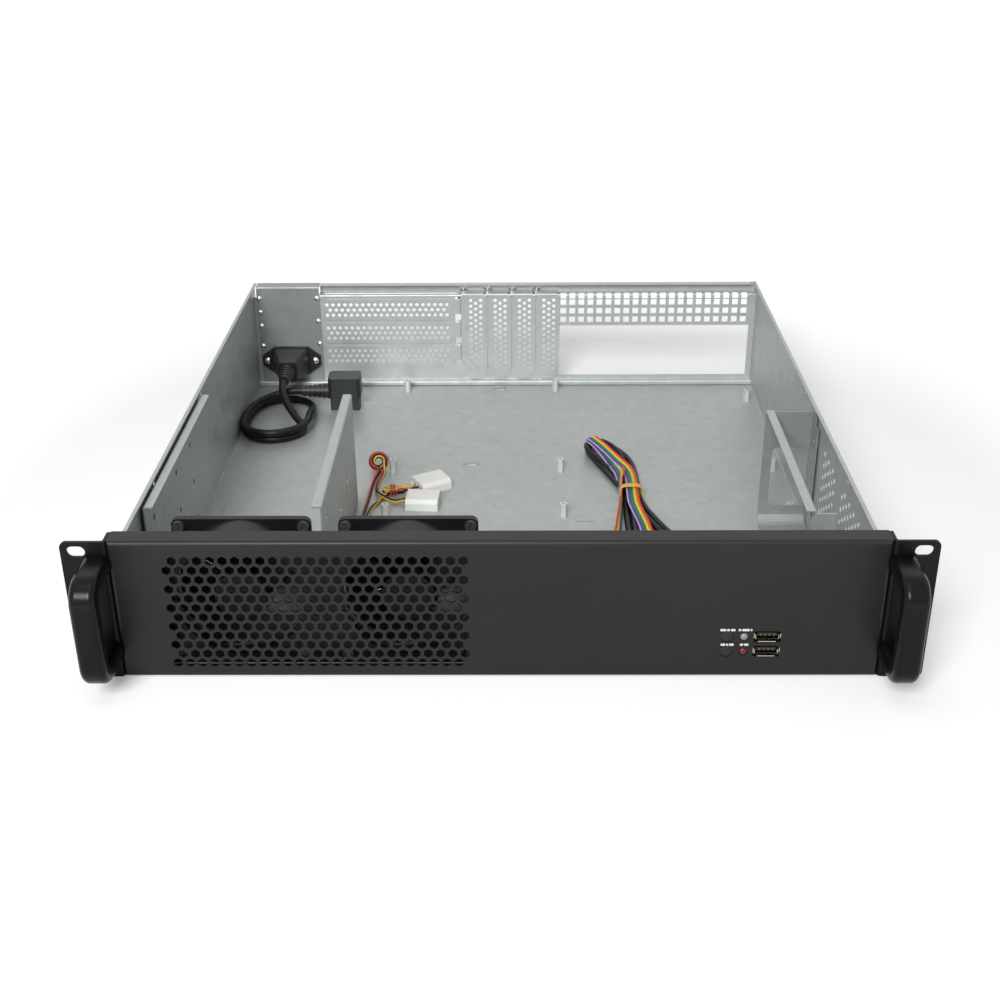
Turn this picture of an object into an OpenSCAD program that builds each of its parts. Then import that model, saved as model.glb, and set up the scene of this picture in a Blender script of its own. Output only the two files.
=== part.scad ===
// Empty two-unit rackmount server case with its lid off: a folded steel tray with a stepped rear wall,
// a black perforated front panel between two rack ears, a drive cage, two fans and its loose cables.
// X runs to the right, Y to the back and Z up. The pieces are drawn with Z = 0 on the underside and
// Y = 0 on the panel's face. in_rack_frame() then puts the origin where the case meets its rack: at the
// middle of the four ear slots, on the ears' rear faces.

/* [Case] */
// Depth from the panel's face to the rear edge
case_depth = 450; // [400:5:560]
// Width over the side walls
body_w = 420; // [350:1:520]
// Height of the side walls
body_h = 88; // [84:0.5:100]
// Sheet thickness of the galvanised parts
sheet = 1; // [0.8:0.1:1.2]
// Inner radius of a fold
bend_r = 0.5; // [0.3:0.1:0.8]
// Width of the lip along the top of a side wall
lip_w = 3; // [2.5:0.5:6]

/* [Front panel] */
// Overhang of the panel past each side of the body
panel_over = 5.5; // [5:0.5:10]
// Sheet thickness of the panel
panel_t = 1.2; // [0.8:0.1:1.5]
// Depth of the panel's top and side flanges
panel_flange = 13; // [10:0.5:20]
// Radius of the panel's front edges
panel_edge_r = 2.2; // [1.8:0.1:3]
// Distance between holes of the air vent
vent_pitch = 7; // [6:0.1:9]
// Width over the points of one hexagonal hole
vent_hole_d = 5.8; // [3:0.1:5.9]

/* [Rack ears] */
// Width of an ear outside the panel
ear_w = 25.8; // [20:0.1:32]
// Thickness of an ear
ear_t = 2; // [1.5:0.1:3]
// Height between the two slots of an ear
slot_rise = 76.2; // [60:0.1:76.2]
// Length and width of a rack slot
slot_size = [10.3, 6.8];
// Clear reach of a handle in front of the panel
handle_reach = 36; // [30:1:45]
// Height over a handle
handle_h = 67; // [56:1:72]
// Width and thickness of a handle's bar
handle_bar = [15, 11];

/* [Fans] */
// Side of a fan's frame
fan_size = 80; // [66:1:84]
// Depth of a fan's frame
fan_depth = 25; // [20:1:32]
// Number of blades
blades = 7; // [5:1:9]
// Gap between the blade tips and the frame
tip_gap = 1.1; // [0.8:0.1:2]
// Distance between the two fans' centres
fan_pitch = 95.7; // [88:0.1:110]

/* [Drive cage] */
// Clear width between the cage's side plates
cage_w = 102; // [90:0.5:120]
// Length of a side plate
cage_len = 168; // [130:1:200]
// Height of a side plate
cage_h = 85; // [70:0.5:86]

/* [Rear wall] */
// Step from the rear edge forward to the slots' plane
rear_step = 10; // [9:0.5:14]
// Height of the shelf that the slot covers' tabs rest on
shelf_z = 80.5; // [79:0.5:82]
// Distance between expansion slots
slot_pitch = 20.32; // [20:0.01:24]
// Width and height of the connector aperture
io_size = [158.75, 44.45];
// Height of a board standoff
standoff_h = 10; // [6:0.5:12]

/* [Hidden] */

STEEL = [0.66, 0.69, 0.67];
BLACK = [0.09, 0.09, 0.10];
DARK = [0.04, 0.04, 0.045];
SCREW = [0.82, 0.80, 0.74];
NYLON = [0.92, 0.92, 0.88];

bend_steps = 5;
seat = 0.1;                                    // clearance between pieces that slide together
half_w = body_w / 2;
in_x = half_w - sheet;                         // inner face of a side wall
panel_w = body_w + 2 * panel_over;
panel_h = body_h + 0.1;
wall_y = panel_flange - sheet;                 // front face of the inner front wall
wall_back = wall_y + sheet;
floor_z = sheet;
foot_x = in_x - bend_r - seat;                  // reach of a foot on the floor, clear of the walls' folds
rear_y = case_depth - rear_step;               // front face of the slots' plane

// ---- shapes that repeat ----

function unit2(v) = v / norm(v);
function left2(v) = [-v.y, v.x];
function turn2(v, a) = [v.x * cos(a) - v.y * sin(a), v.x * sin(a) + v.y * cos(a)];

// One rounded corner of a folded sheet, on its left side (side = 1) or its right side (side = -1)
function fold_corner(a, b, c, side, t, r) =
    let (d0 = unit2(b - a), d1 = unit2(c - b), s = d0.x * d1.y - d0.y * d1.x > 0 ? 1 : -1,
         angle = acos(d0 * d1), mid_r = r + t / 2, start = b - d0 * mid_r * tan(angle / 2),
         centre = start + s * left2(d0) * mid_r, side_r = mid_r - s * side * t / 2)
    [for (k = [0:bend_steps]) centre + turn2(-s * left2(d0) * side_r, s * angle * k / bend_steps)];

function fold_side(p, side, t, r) =
    let (n = len(p) - 1)
    concat([p[0] + side * left2(unit2(p[1] - p[0])) * t / 2],
           [for (i = [1:n - 1]) each fold_corner(p[i - 1], p[i], p[i + 1], side, t, r)],
           [p[n] + side * left2(unit2(p[n] - p[n - 1])) * t / 2]);

function backwards(p) = [for (i = [len(p) - 1:-1:0]) p[i]];

// Section of a folded sheet whose middle follows the points
module folded(p, t = sheet, r = bend_r)
    polygon(concat(fold_side(p, 1, t, r), backwards(fold_side(p, -1, t, r))));

// A section drawn in X and Z, extruded along Y; in Y and Z along X; in X and Y along Z
module along_y(y0, y1) translate([0, y1, 0]) rotate([90, 0, 0]) linear_extrude(y1 - y0) children();
module along_x(x0, x1) translate([x0, 0, 0]) rotate([90, 0, 90]) linear_extrude(x1 - x0) children();
module along_z(z0, z1) translate([0, 0, z0]) linear_extrude(z1 - z0) children();

// Cylinders that start at a point and run along +Y or +X
module rod_y(p, r, l) translate(p) rotate([-90, 0, 0]) cylinder(h = l, r = r, $fn = 32);
module rod_x(p, r, l) translate(p) rotate([0, 90, 0]) cylinder(h = l, r = r, $fn = 32);

// Rectangle with round corners, centred
module rounded_rect(w, h, r) {
    square([w - 2 * r, h], center = true);
    square([w, h - 2 * r], center = true);
    for (x = [-1, 1], y = [-1, 1]) translate([x * (w / 2 - r), y * (h / 2 - r)]) circle(r, $fn = 32);
}

// Slot with round ends, centred, along X
module stadium(l, w) {
    square([l - w, w], center = true);
    for (x = [-1, 1]) translate([x * (l - w) / 2, 0]) circle(w / 2, $fn = 32);
}

// Tube swept along a route: one ring of points across the path at each of its points
function route_dir(p, i) = let (a = p[max(i - 1, 0)], b = p[min(i + 1, len(p) - 1)]) (b - a) / norm(b - a);
function ring(p, i, r, n) =
    let (d = route_dir(p, i), up = abs(d.z) > 0.9 ? [0, 1, 0] : [0, 0, 1],
         u = cross(up, d) / norm(cross(up, d)), v = cross(d, u))
    [for (k = [0:n - 1]) p[i] + r * (cos(360 * k / n) * u + sin(360 * k / n) * v)];
module tube(p, r, n = 8) {
    last = len(p) - 1;
    polyhedron(
        points = [for (i = [0:last]) each ring(p, i, r, n)],
        faces = concat(
            [[for (k = [0:n - 1]) k]],
            [for (i = [0:last - 1], k = [0:n - 1])
                [i * n + k, (i + 1) * n + k, (i + 1) * n + (k + 1) % n, i * n + (k + 1) % n]],
            [[for (k = [n - 1:-1:0]) last * n + k]]));
}

module in_rack_frame() translate([0, -ear_t, -panel_h / 2]) children();

// ---- tray and front ----

side_vent_pitch = [6.2, 8.3];                  // column step along Y and hole step up the wall
side_vent_hole = 4.4;
side_vents = [[46, 101], [118, 150]];          // stretches of the right wall with holes
lance = [14, 5];                               // small lanced loops for cable ties
lances = [[-24, 280], [-4, rear_y - 12]];
arc_mark = [57, 188];

module side_vent_holes()
    for (v = side_vents, c = [0:floor((v[1] - v[0]) / side_vent_pitch.x)], k = [0:7])
        let (z = 8.5 + k * side_vent_pitch.y + (c % 2) * side_vent_pitch.y / 2)
        if (z < body_h - 15) rod_x([in_x - 1, v[0] + c * side_vent_pitch.x, z], side_vent_hole / 2, sheet + 2);

module base_tray() color(STEEL) {
    mid = sheet / 2;
    difference() {
        along_y(wall_back, case_depth) folded([
            [-half_w + lip_w, body_h - mid], [-half_w + mid, body_h - mid], [-half_w + mid, mid],
            [half_w - mid, mid], [half_w - mid, body_h - mid], [half_w - lip_w, body_h - mid]]);
        side_vent_holes();
        // lid screws along the top of both walls
        for (x = [-half_w - 1, in_x - 1], y = [85, case_depth / 2, case_depth - 40])
            rod_x([x, y, body_h - 6], 1.6, sheet + 2);
        // windows under the lanced loops, and the arc slot of an unused fixing
        for (p = lances) translate([p.x, p.y, -1]) along_z(0, sheet + 2) square(lance, center = true);
        translate([arc_mark.x, arc_mark.y - 16, -1]) linear_extrude(sheet + 2) intersection() {
            difference() {
                circle(17, $fn = 48);
                circle(15.2, $fn = 48);
            }
            polygon([[0, 0], [-9, 20], [9, 20]]);
        }
    }
    // loops pushed up out of the floor
    for (p = lances)
        translate([p.x, p.y, 0]) along_y(-1.5, 1.5) folded([[-lance.x / 2 - 0.5, sheet / 2],
            [-lance.x / 2 + 2, sheet / 2], [-lance.x / 2 + 4.5, 2.8], [lance.x / 2 - 4.5, 2.8],
            [lance.x / 2 - 2, sheet / 2], [lance.x / 2 + 0.5, sheet / 2]], sheet * 0.99, 0.6);
}

fan_x = [-half_w + 62.3, -half_w + 62.3 + fan_pitch];
fan_z = 4.5 + fan_size / 2;
fan_hole = fan_size / 2 - 4.25;                // centre of the frame to a screw hole, each way
duct_r = fan_size / 2 - 2;                     // inner radius of the fan's duct

// Places of the controls, as distances from the panel's right edge and up from the underside
button_x = panel_w / 2 - 86.9;
led_x = panel_w / 2 - 77.2;
port_x = panel_w / 2 - 64.1;
upper_z = 26.6;
lower_z = 16.9;
window = [button_x - 9, 6.5, port_x + 14, 36];  // opening of the front wall behind the controls

module front_wall() color(STEEL) difference() {
    w = panel_w / 2 - panel_t - seat;
    mid = sheet / 2;
    intersection() {
        along_x(-w, w) folded([[wall_back + 10, floor_z + mid], [wall_y + mid, floor_z + mid],
            [wall_y + mid, panel_h - panel_t - seat]]);
        // the foot is narrower than the plate, so that it lies between the side walls
        union() {
            translate([-w, wall_y - 1, 0]) cube([2 * w, sheet + 1, panel_h]);
            translate([-foot_x, wall_y, 0]) cube([2 * foot_x, 20, 20]);
        }
    }
    for (x = fan_x) {
        rod_y([x, wall_y - 1, fan_z], duct_r - 1, sheet + 2);
        for (i = [-1, 1], k = [-1, 1]) rod_y([x + i * fan_hole, wall_y - 1, fan_z + k * fan_hole], 2.2, sheet + 2);
    }
    translate([window[0], wall_y - 1, window[1]]) cube([window[2] - window[0], sheet + 2, window[3] - window[1]]);
    for (x = board_screw_x) rod_y([x, wall_y - 1, board_screw_z], 1.6, sheet + 2);
}

// Solid block with the panel's rounded front edges; the panel is a large one less a small one
module panel_block(w, h, y0, y1, r) intersection() {
    along_x(-w / 2, w / 2) {
        translate([y0 + r, -h / 2]) square([y1 - y0 - r, h]);
        translate([y0, -h / 2 + r]) square([y1 - y0, h - 2 * r]);
        for (z = [-1, 1]) translate([y0 + r, z * (h / 2 - r)]) circle(r, $fn = 32);
    }
    along_z(-h / 2, h / 2) {
        translate([-w / 2, y0 + r]) square([w, y1 - y0 - r]);
        translate([-w / 2 + r, y0]) square([w - 2 * r, y1 - y0]);
        for (x = [-1, 1]) translate([x * (w / 2 - r), y0 + r]) circle(r, $fn = 32);
    }
}

vent_rows = 12;
vent_cols = 24;
vent_x = -panel_w / 2 + 31.5;                  // first hole of the lower row of a pair
vent_top = 76.2;

module vent_pattern()
    for (row = [0:vent_rows - 1], col = [0:vent_cols - 1])
        translate([vent_x + (row % 2 == 0 ? 0.5 : 0) * vent_pitch + col * vent_pitch,
                   vent_top - row * vent_pitch * sin(60)])
            rotate(30) circle(d = vent_hole_d, $fn = 6);

port_cut = [15.2, 7.4];
button_hole_r = 3.6;
led_hole_r = 2.6;

module front_panel() color(BLACK) difference() {
    translate([0, 0, panel_h / 2]) difference() {
        panel_block(panel_w, panel_h, 0, panel_flange, panel_edge_r);
        panel_block(panel_w - 2 * panel_t, panel_h - 2 * panel_t, panel_t, panel_flange + 1,
            panel_edge_r - panel_t);
        // the bottom flange stops in front of the tray
        translate([-panel_w / 2 + panel_t, wall_y - 0.3, -panel_h / 2 - 1]) cube([panel_w - 2 * panel_t, 5, panel_t + 1.01]);
    }
    along_y(-1, panel_t + 1) vent_pattern();
    for (z = [upper_z, lower_z]) {
        rod_y([button_x, -1, z], button_hole_r, panel_t + 2);
        rod_y([led_x, -1, z], led_hole_r, panel_t + 2);
        translate([port_x, 0, z]) along_y(-1, panel_t + 1) square(port_cut, center = true);
    }
}

// ---- ears and handles ----

slot_x = panel_w / 2 + ear_w - 8.75;           // centre of an ear slot
slot_z = panel_h / 2;
handle_x = slot_x - 10.75;
handle_z0 = (panel_h - handle_h) / 2 + 2.4;

module ear() difference() {
    flange_x = panel_w / 2 + seat + ear_t / 2;
    intersection() {
        along_z(0, panel_h) folded([[panel_w / 2 + ear_w, ear_t / 2], [flange_x, ear_t / 2],
            [flange_x, panel_flange - 1]], ear_t, 0.9);
        along_y(-1, panel_flange + 1) {
            translate([panel_w / 2 + ear_w - 20, panel_h / 2]) rounded_rect(40, panel_h, 3.5);
            translate([panel_w / 2 - 5, 0]) square([15, panel_h]);
        }
    }
    for (z = [-1, 1]) translate([slot_x, 0, slot_z + z * slot_rise / 2]) along_y(-1, ear_t + 1)
        stadium(slot_size.x, slot_size.y);
    for (z = handle_leg_z) rod_y([handle_x, -1, z], 2.2, ear_t + 2);
    for (z = [18, panel_h - 18]) rod_x([panel_w / 2 - 1, panel_flange - 5, z], 1.8, ear_t + 3);
}
module ear_right() color(BLACK) ear();
module ear_left() color(BLACK) mirror([1, 0, 0]) ear();

handle_corner = 9;                             // radius at the middle of the bar's corners
handle_leg_z = [handle_z0 + handle_bar.y / 2, handle_z0 + handle_h - handle_bar.y / 2];

module bar_section() rounded_rect(handle_bar.x, handle_bar.y, 4);

// D-shaped handle: two legs, two round corners and a grip, all of one bar
module handle() difference() {
    grip_y = -handle_reach + handle_bar.y / 2;
    union() {
        for (z = handle_leg_z)
            translate([handle_x, 0, z]) along_y(grip_y + handle_corner, 0) bar_section();
        translate([handle_x, grip_y, 0])
            along_z(handle_leg_z[0] + handle_corner, handle_leg_z[1] - handle_corner) bar_section();
        for (k = [0, 1])
            translate([handle_x, grip_y + handle_corner, handle_leg_z[k] + (k == 0 ? 1 : -1) * handle_corner])
                rotate([0, 90, 0]) rotate([0, 0, k == 0 ? 270 : 180])
                    rotate_extrude(angle = 90, $fn = 48) translate([handle_corner, 0]) rotate(90) bar_section();
    }
    for (z = handle_leg_z) rod_y([handle_x, -12, z], handle_screw_r + 0.05, 13);
}
module handle_right() color(DARK) handle();
module handle_left() color(DARK) mirror([1, 0, 0]) handle();

handle_screw_r = 2;
module handle_screws() color(SCREW)
    for (s = [-1, 1], z = handle_leg_z) {
        rod_y([s * handle_x, -11, z], handle_screw_r, 11 + ear_t + 0.1);
        difference() {
            rod_y([s * handle_x, ear_t, z], 3.2, 2.4);
            translate([s * handle_x, ear_t + 1.4, z]) for (a = [0, 90]) rotate([0, a, 0])
                cube([4, 2.4, 0.9], center = true);
        }
    }

// ---- rear wall ----

io_x = in_x - 4.7 - io_size.x;                 // left edge of the connector aperture
io_z = floor_z + standoff_h - 2.24;            // its lower edge, below the board's underside
low_x = [for (k = [0:3]) io_x - 8.5 - k * slot_pitch];
full_tab_x = low_x[3] - 12.2;                  // outer face of the full covers' tabs
full_x = [low_x[3] - 129, full_tab_x - 6];     // left and right end of the full covers' plates
full_z = [for (k = [0:2]) 67.6 - k * slot_pitch];
ledge_z = 4.7;
foot_y = rear_y - 4.5;
plate_x = [-in_x + 3, full_x[0] - 1];          // left and right edge of the inlet plate
cover_t = 0.8;
cover_w = 18.4;
mouth_w = 13;                                  // width of a slot's opening
tab_screw = 10.4;                              // from a slot's middle to the screw of its tab
low_screw_y = case_depth - 4.3;
full_screw = 6.1;                              // the same for the full covers, which lie on their side
full_screw_y = rear_y + 6.2;
grid_pitch = 7.5;
grid_hole = 4.9;

module rear_panel() color(STEEL) {
    mid = sheet / 2;
    difference() {
        along_x(-in_x + seat, in_x - seat) folded([
            [case_depth - 2, floor_z + mid], [foot_y, floor_z + mid], [foot_y, ledge_z],
            [rear_y + mid, ledge_z], [rear_y + mid, shelf_z - mid], [case_depth - mid, shelf_z - mid],
            [case_depth - mid, body_h - mid], [case_depth - 6.5, body_h - mid]], sheet, 0.3);
        // the power bay on the left has no shelf, and its plane is open behind the inlet plate
        translate([-half_w, foot_y, shelf_z - sheet - 1]) cube([plate_x[1] + half_w, 30, 20]);
        translate([plate_x[0] + 4, rear_y - 1, 9]) cube([plate_x[1] - plate_x[0] - 8, sheet + 2, 66]);
        // lip ends short of the right wall, and the upright passes under that wall's lip
        translate([in_x - 4.5, case_depth - 8, body_h - 3]) cube([10, 7, 5]);
        translate([half_w - lip_w - 0.2, case_depth - 3, body_h - sheet - 0.2]) cube([10, 5, 3]);
        for (s = [-1, 1]) translate([s * (foot_x + 5) - 5, foot_y, 0]) cube([10, 20, floor_z + bend_r + seat]);
        // connector aperture and the slots' mouths
        translate([io_x, rear_y - 1, io_z]) cube([io_size.x, sheet + 2, io_size.y]);
        for (x = low_x) translate([x - mouth_w / 2, rear_y - 1, 11]) cube([mouth_w, sheet + 2, shelf_z - 13.5]);
        for (z = full_z) translate([full_x[0] + 3, rear_y - 1, z - mouth_w / 2])
            cube([full_x[1] - full_x[0] - 4, sheet + 2, mouth_w]);
        // gap through which the full covers' tabs reach back
        translate([full_x[1] + 1, rear_y - 1, full_z[2] - 11]) cube([full_tab_x - full_x[1] - 1, sheet + 2,
            full_z[0] - full_z[2] + 22]);
        // square-hole grid above the aperture; its top row runs over the fold into the shelf
        for (c = [0:floor((io_size.x - 8) / grid_pitch)]) {
            x = io_x + 3.6 + c * grid_pitch;
            for (r = [0:2]) translate([x - grid_hole / 2, rear_y - 1, io_z + io_size.y + 2.8 + r * grid_pitch])
                cube([grid_hole, sheet + 2, grid_hole]);
            translate([x - grid_hole / 2, rear_y - 1, shelf_z - 4]) cube([grid_hole, 7, 6]);
        }
        // long slot in the shelf above the full covers
        translate([(full_x[0] + full_tab_x) / 2, case_depth - 4.5, 0]) along_z(shelf_z - 2, shelf_z + 1)
            stadium(full_tab_x - full_x[0] - 4, 5.4);
        // screw holes of the low covers
        for (x = low_x) translate([x - tab_screw, low_screw_y, shelf_z - 2]) cylinder(h = 4, r = 1.6, $fn = 24);
    }
    // post for the full covers' tabs
    difference() {
        translate([full_tab_x, rear_y + sheet, full_z[2] - 11])
            cube([sheet, rear_step - sheet - 0.5, full_z[0] - full_z[2] + full_screw + 13.4]);
        for (z = full_z) rod_x([full_tab_x - 1, full_screw_y, z + full_screw], 1.6, sheet + 2);
    }
}

// Holes of a slot cover: three staggered lines of round holes
module cover_holes(n, step, line) for (j = [-1:1], k = [0:n - 1 - (j == 0 ? 1 : 0)])
    translate([(k + (j == 0 ? 0.5 : 0)) * step, j * line]) circle(1.45, $fn = 24);

module low_cover(x) color(STEEL) difference() {
    mid = cover_t / 2;
    intersection() {
        along_x(x - 12, x + 12) folded([[rear_y - mid, ledge_z + sheet / 2 + 0.35],
            [rear_y - mid, shelf_z + mid], [case_depth - sheet - 0.5, shelf_z + mid]], cover_t, 0.3);
        union() {
            translate([x - tab_screw - 1.2, rear_y - cover_t - 1, shelf_z - 1]) cube([cover_w, 20, 5]);
            along_y(rear_y - 3, rear_y + 1) translate([x, 0]) polygon([[-5, 0], [5, 0], [5, 8], [cover_w / 2, 11.5],
                [cover_w / 2, shelf_z - 1], [-cover_w / 2, shelf_z - 1], [-cover_w / 2, 11.5], [-5, 8]]);
        }
    }
    translate([x - tab_screw - 5, low_screw_y - 2.2, shelf_z - 1]) cube([5, 4.4, 4]);
    translate([x - tab_screw, low_screw_y, shelf_z - 1]) cylinder(h = 4, r = 2.2, $fn = 24);
    translate([x, 0, 15]) along_y(rear_y - 3, rear_y + 1) rotate(90) cover_holes(13, 5.05, 4.1);
}
module low_cover_1() low_cover(low_x[0]);
module low_cover_2() low_cover(low_x[1]);
module low_cover_3() low_cover(low_x[2]);
module low_cover_4() low_cover(low_x[3]);

module full_cover(z) color(STEEL) difference() {
    mid = cover_t / 2;
    intersection() {
        along_z(z - 12, z + 12) folded([[full_x[0], rear_y - mid], [full_tab_x - mid, rear_y - mid],
            [full_tab_x - mid, case_depth - 1.2]], cover_t, 0.3);
        union() {
            along_y(rear_y - 3, rear_y + 1) translate([0, z]) polygon([[full_x[0], -5], [full_x[0] + 3, -cover_w / 2],
                [full_x[1] - 5, -cover_w / 2], [full_x[1], -4], [full_tab_x, -4], [full_tab_x, 9],
                [full_x[1], 9], [full_x[1] - 1, cover_w / 2], [full_x[0] + 3, cover_w / 2], [full_x[0], 5]]);
            translate([full_tab_x - 2, rear_y - 0.4, z - 4]) cube([3, 20, 13.6]);
        }
    }
    rod_x([full_tab_x - 3, full_screw_y, z + full_screw], 2.2, 5);
    translate([full_x[0] + 5, 0, z]) along_y(rear_y - 3, rear_y + 1) cover_holes(21, 5, 4.5);
}
module full_cover_1() full_cover(full_z[0]);
module full_cover_2() full_cover(full_z[1]);
module full_cover_3() full_cover(full_z[2]);

// Screw along -Z at the origin: its head stands on Z = 0
module slot_screw() {
    translate([0, 0, -5]) cylinder(h = 5.1, r = 1.5, $fn = 24);
    difference() {
        cylinder(h = 2.2, r = 3.2, $fn = 32);
        for (a = [0, 90]) rotate(a) translate([0, 0, 2]) cube([4, 0.9, 1.6], center = true);
    }
}
module slot_screws() color(SCREW) {
    for (x = low_x) translate([x - tab_screw, low_screw_y, shelf_z + cover_t]) slot_screw();
    for (z = full_z) translate([full_tab_x - cover_t, full_screw_y, z + full_screw]) rotate([0, -90, 0]) slot_screw();
}

inlet_at = [(plate_x[0] + plate_x[1]) / 2 - 0.4, 24];
inlet_cut = [27, 19.6];
inlet_screw = 20;
rivet_z = [[36, 54, 66, 78], [38, 58, 78]];
rivet_x = [plate_x[0] + 2, plate_x[1] - 2];

module inlet_plate() color(STEEL) difference() {
    along_x(plate_x[0], plate_x[1]) folded([[rear_y - sheet / 2, 6], [rear_y - sheet / 2, body_h - sheet / 2],
        [case_depth, body_h - sheet / 2]]);
    translate([inlet_at.x, 0, inlet_at.y]) along_y(rear_y - 3, rear_y + 2) rounded_rect(inlet_cut.x + 0.4, inlet_cut.y + 0.4, 2);
    for (s = [-1, 1]) rod_y([inlet_at.x + s * inlet_screw, rear_y - 3, inlet_at.y], 1.7, 5);
    for (k = [0, 1], z = rivet_z[k]) rod_y([rivet_x[k], rear_y - 3, z], 1.2, 5);
}
module plate_rivets() color(SCREW)
    for (k = [0, 1], z = rivet_z[k]) {
        rod_y([rivet_x[k], rear_y - sheet, z], 1.15, sheet);
        intersection() {
            translate([rivet_x[k], rear_y - sheet + 1.2, z]) sphere(2.6, $fn = 32);
            rod_y([rivet_x[k], rear_y - sheet - 3, z], 3, 3);
        }
    }

// ---- board standoffs ----

board_x = in_x - 8.9;                          // right column of a full-size board's holes
board_y = rear_y - 17;                         // its rear row
board_holes = [for (x = [0, -157.48, -281.94], y = [0, -154.94, -227.33])
    [board_x + x, board_y + y - (x == 0 && y == 0 ? 22.86 : 0)]];

module standoffs() color(SCREW)
    for (p = board_holes) translate([p.x, p.y, floor_z]) difference() {
        cylinder(h = standoff_h, d = 5.6, $fn = 6);
        translate([0, 0, standoff_h - 6]) cylinder(h = 7, r = 1.4, $fn = 24);
    }

// ---- drive cage ----

cage_y = 48;
cage_x = [-in_x + 3, -in_x + 3 + cage_w];      // inner faces of the two side plates
cage_rows = [16, 42.6, 69.2];
cage_cols = [18, 78.3, 119.6];                 // from the front end of a plate

// Side plate with a top flange and a foot, both to the left; the drives' holes run through it
module cage_plate(x, flange, foot, h = cage_h) difference() {
    mid = sheet / 2;
    along_y(cage_y, cage_y + cage_len) folded([[x - foot, floor_z + mid], [x + mid, floor_z + mid],
        [x + mid, h - mid], [x - flange, h - mid]]);
    for (y = cage_cols, z = cage_rows) rod_x([x - 1, cage_y + y, z], 1.9, sheet + 2);
}
module drive_bracket_right() color(STEEL) cage_plate(cage_x[1], 5, 9);
module drive_bracket_left() color(STEEL) mirror([1, 0, 0]) cage_plate(-cage_x[0], 5, 9);

// ---- bracket and rail on the right ----

side_y = 186;
side_x = in_x - 33;                            // left edge of the bracket
rail_w = 6;
rail_z = 85;
rail_y0 = 42;

module side_bracket() color(STEEL) difference() {
    mid = sheet / 2;
    union() {
        // plate across the bay, folded forward into a foot with a wide bend
        along_x(side_x, in_x - 1) folded([[side_y - 22, floor_z + mid], [side_y + mid, floor_z + mid],
            [side_y + mid, rail_z - sheet]], sheet, 8);
        // flange along the side wall
        translate([in_x - 1 - sheet, side_y - 18, 12]) cube([sheet, 18 + mid, 66]);
        translate([in_x - 1 - sheet, side_y - 10, 77]) cube([sheet, 10 + mid, 7]);
    }
    translate([side_x + 18.5, 0, 36]) along_y(side_y - 1, side_y + 2) rounded_rect(24.5, 44, 4);
    rod_x([in_x - 4, side_y - 12, 68], 2, 6);
    translate([side_x + 12, side_y - 15, 0]) cylinder(h = 4, r = 1.8, $fn = 24);
}

module side_rail() color(STEEL) {
    mid = sheet / 2;
    difference() {
        along_y(rail_y0, side_y + sheet) folded([[side_x, rail_z - mid], [side_x + rail_w - mid, rail_z - mid],
            [side_x + rail_w - mid, rail_z - 6]]);
        // the flange stops at the bracket, on whose edge the rail lies
        translate([side_x - 1, side_y, rail_z - 7]) cube([rail_w + 2, 3, 6]);
    }
    // leg behind the front panel
    translate([side_x + rail_w - 0.5, 0, 0]) intersection() {
        along_x(-0.5, 12) folded([[rail_y0 + 12, floor_z + mid], [rail_y0 + mid, floor_z + mid],
            [rail_y0 + mid, rail_z - 2]]);
        translate([-0.5, rail_y0 - 1, 0]) cube([12.5, 20, 90]);
    }
}

// ---- fans ----

fan_y = wall_back;
flange_t = 4;
hub_r = 16;
shaft_r = 1.5;
bearing_gap = 0.06;

module fan_frame(x) color(DARK) translate([x, fan_y, fan_z]) difference() {
    union() {
        for (y = [0, fan_depth - flange_t]) along_y(y, y + flange_t) difference() {
            rounded_rect(fan_size, fan_size, 4);
            circle(duct_r, $fn = 64);
        }
        along_y(0, fan_depth) difference() {
            circle(duct_r + 1.6, $fn = 64);
            circle(duct_r, $fn = 64);
        }
        // motor base on four arms at the back, with the bearing tube and the stator
        along_y(fan_depth - 3, fan_depth) {
            circle(hub_r, $fn = 48);
            for (a = [45, 135, 225, 315]) rotate(a + 12) translate([hub_r - 1, -1.6]) square([duct_r - hub_r + 2, 3.2]);
        }
        rod_y([0, 6, 0], 3.6, fan_depth - 8);
        rod_y([0, 8, 0], 11.5, fan_depth - 10);
    }
    rod_y([0, 4, 0], shaft_r + bearing_gap, fan_depth - 6);
    for (i = [-1, 1], k = [-1, 1]) rod_y([i * fan_hole, -1, k * fan_hole], 2.2, fan_depth + 2);
    // rounded inlet mouth
    rod_y([0, -1, 0], duct_r + 0.8, 2);
}
module fan_frame_left() fan_frame(fan_x[0]);
module fan_frame_right() fan_frame(fan_x[1]);

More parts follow.
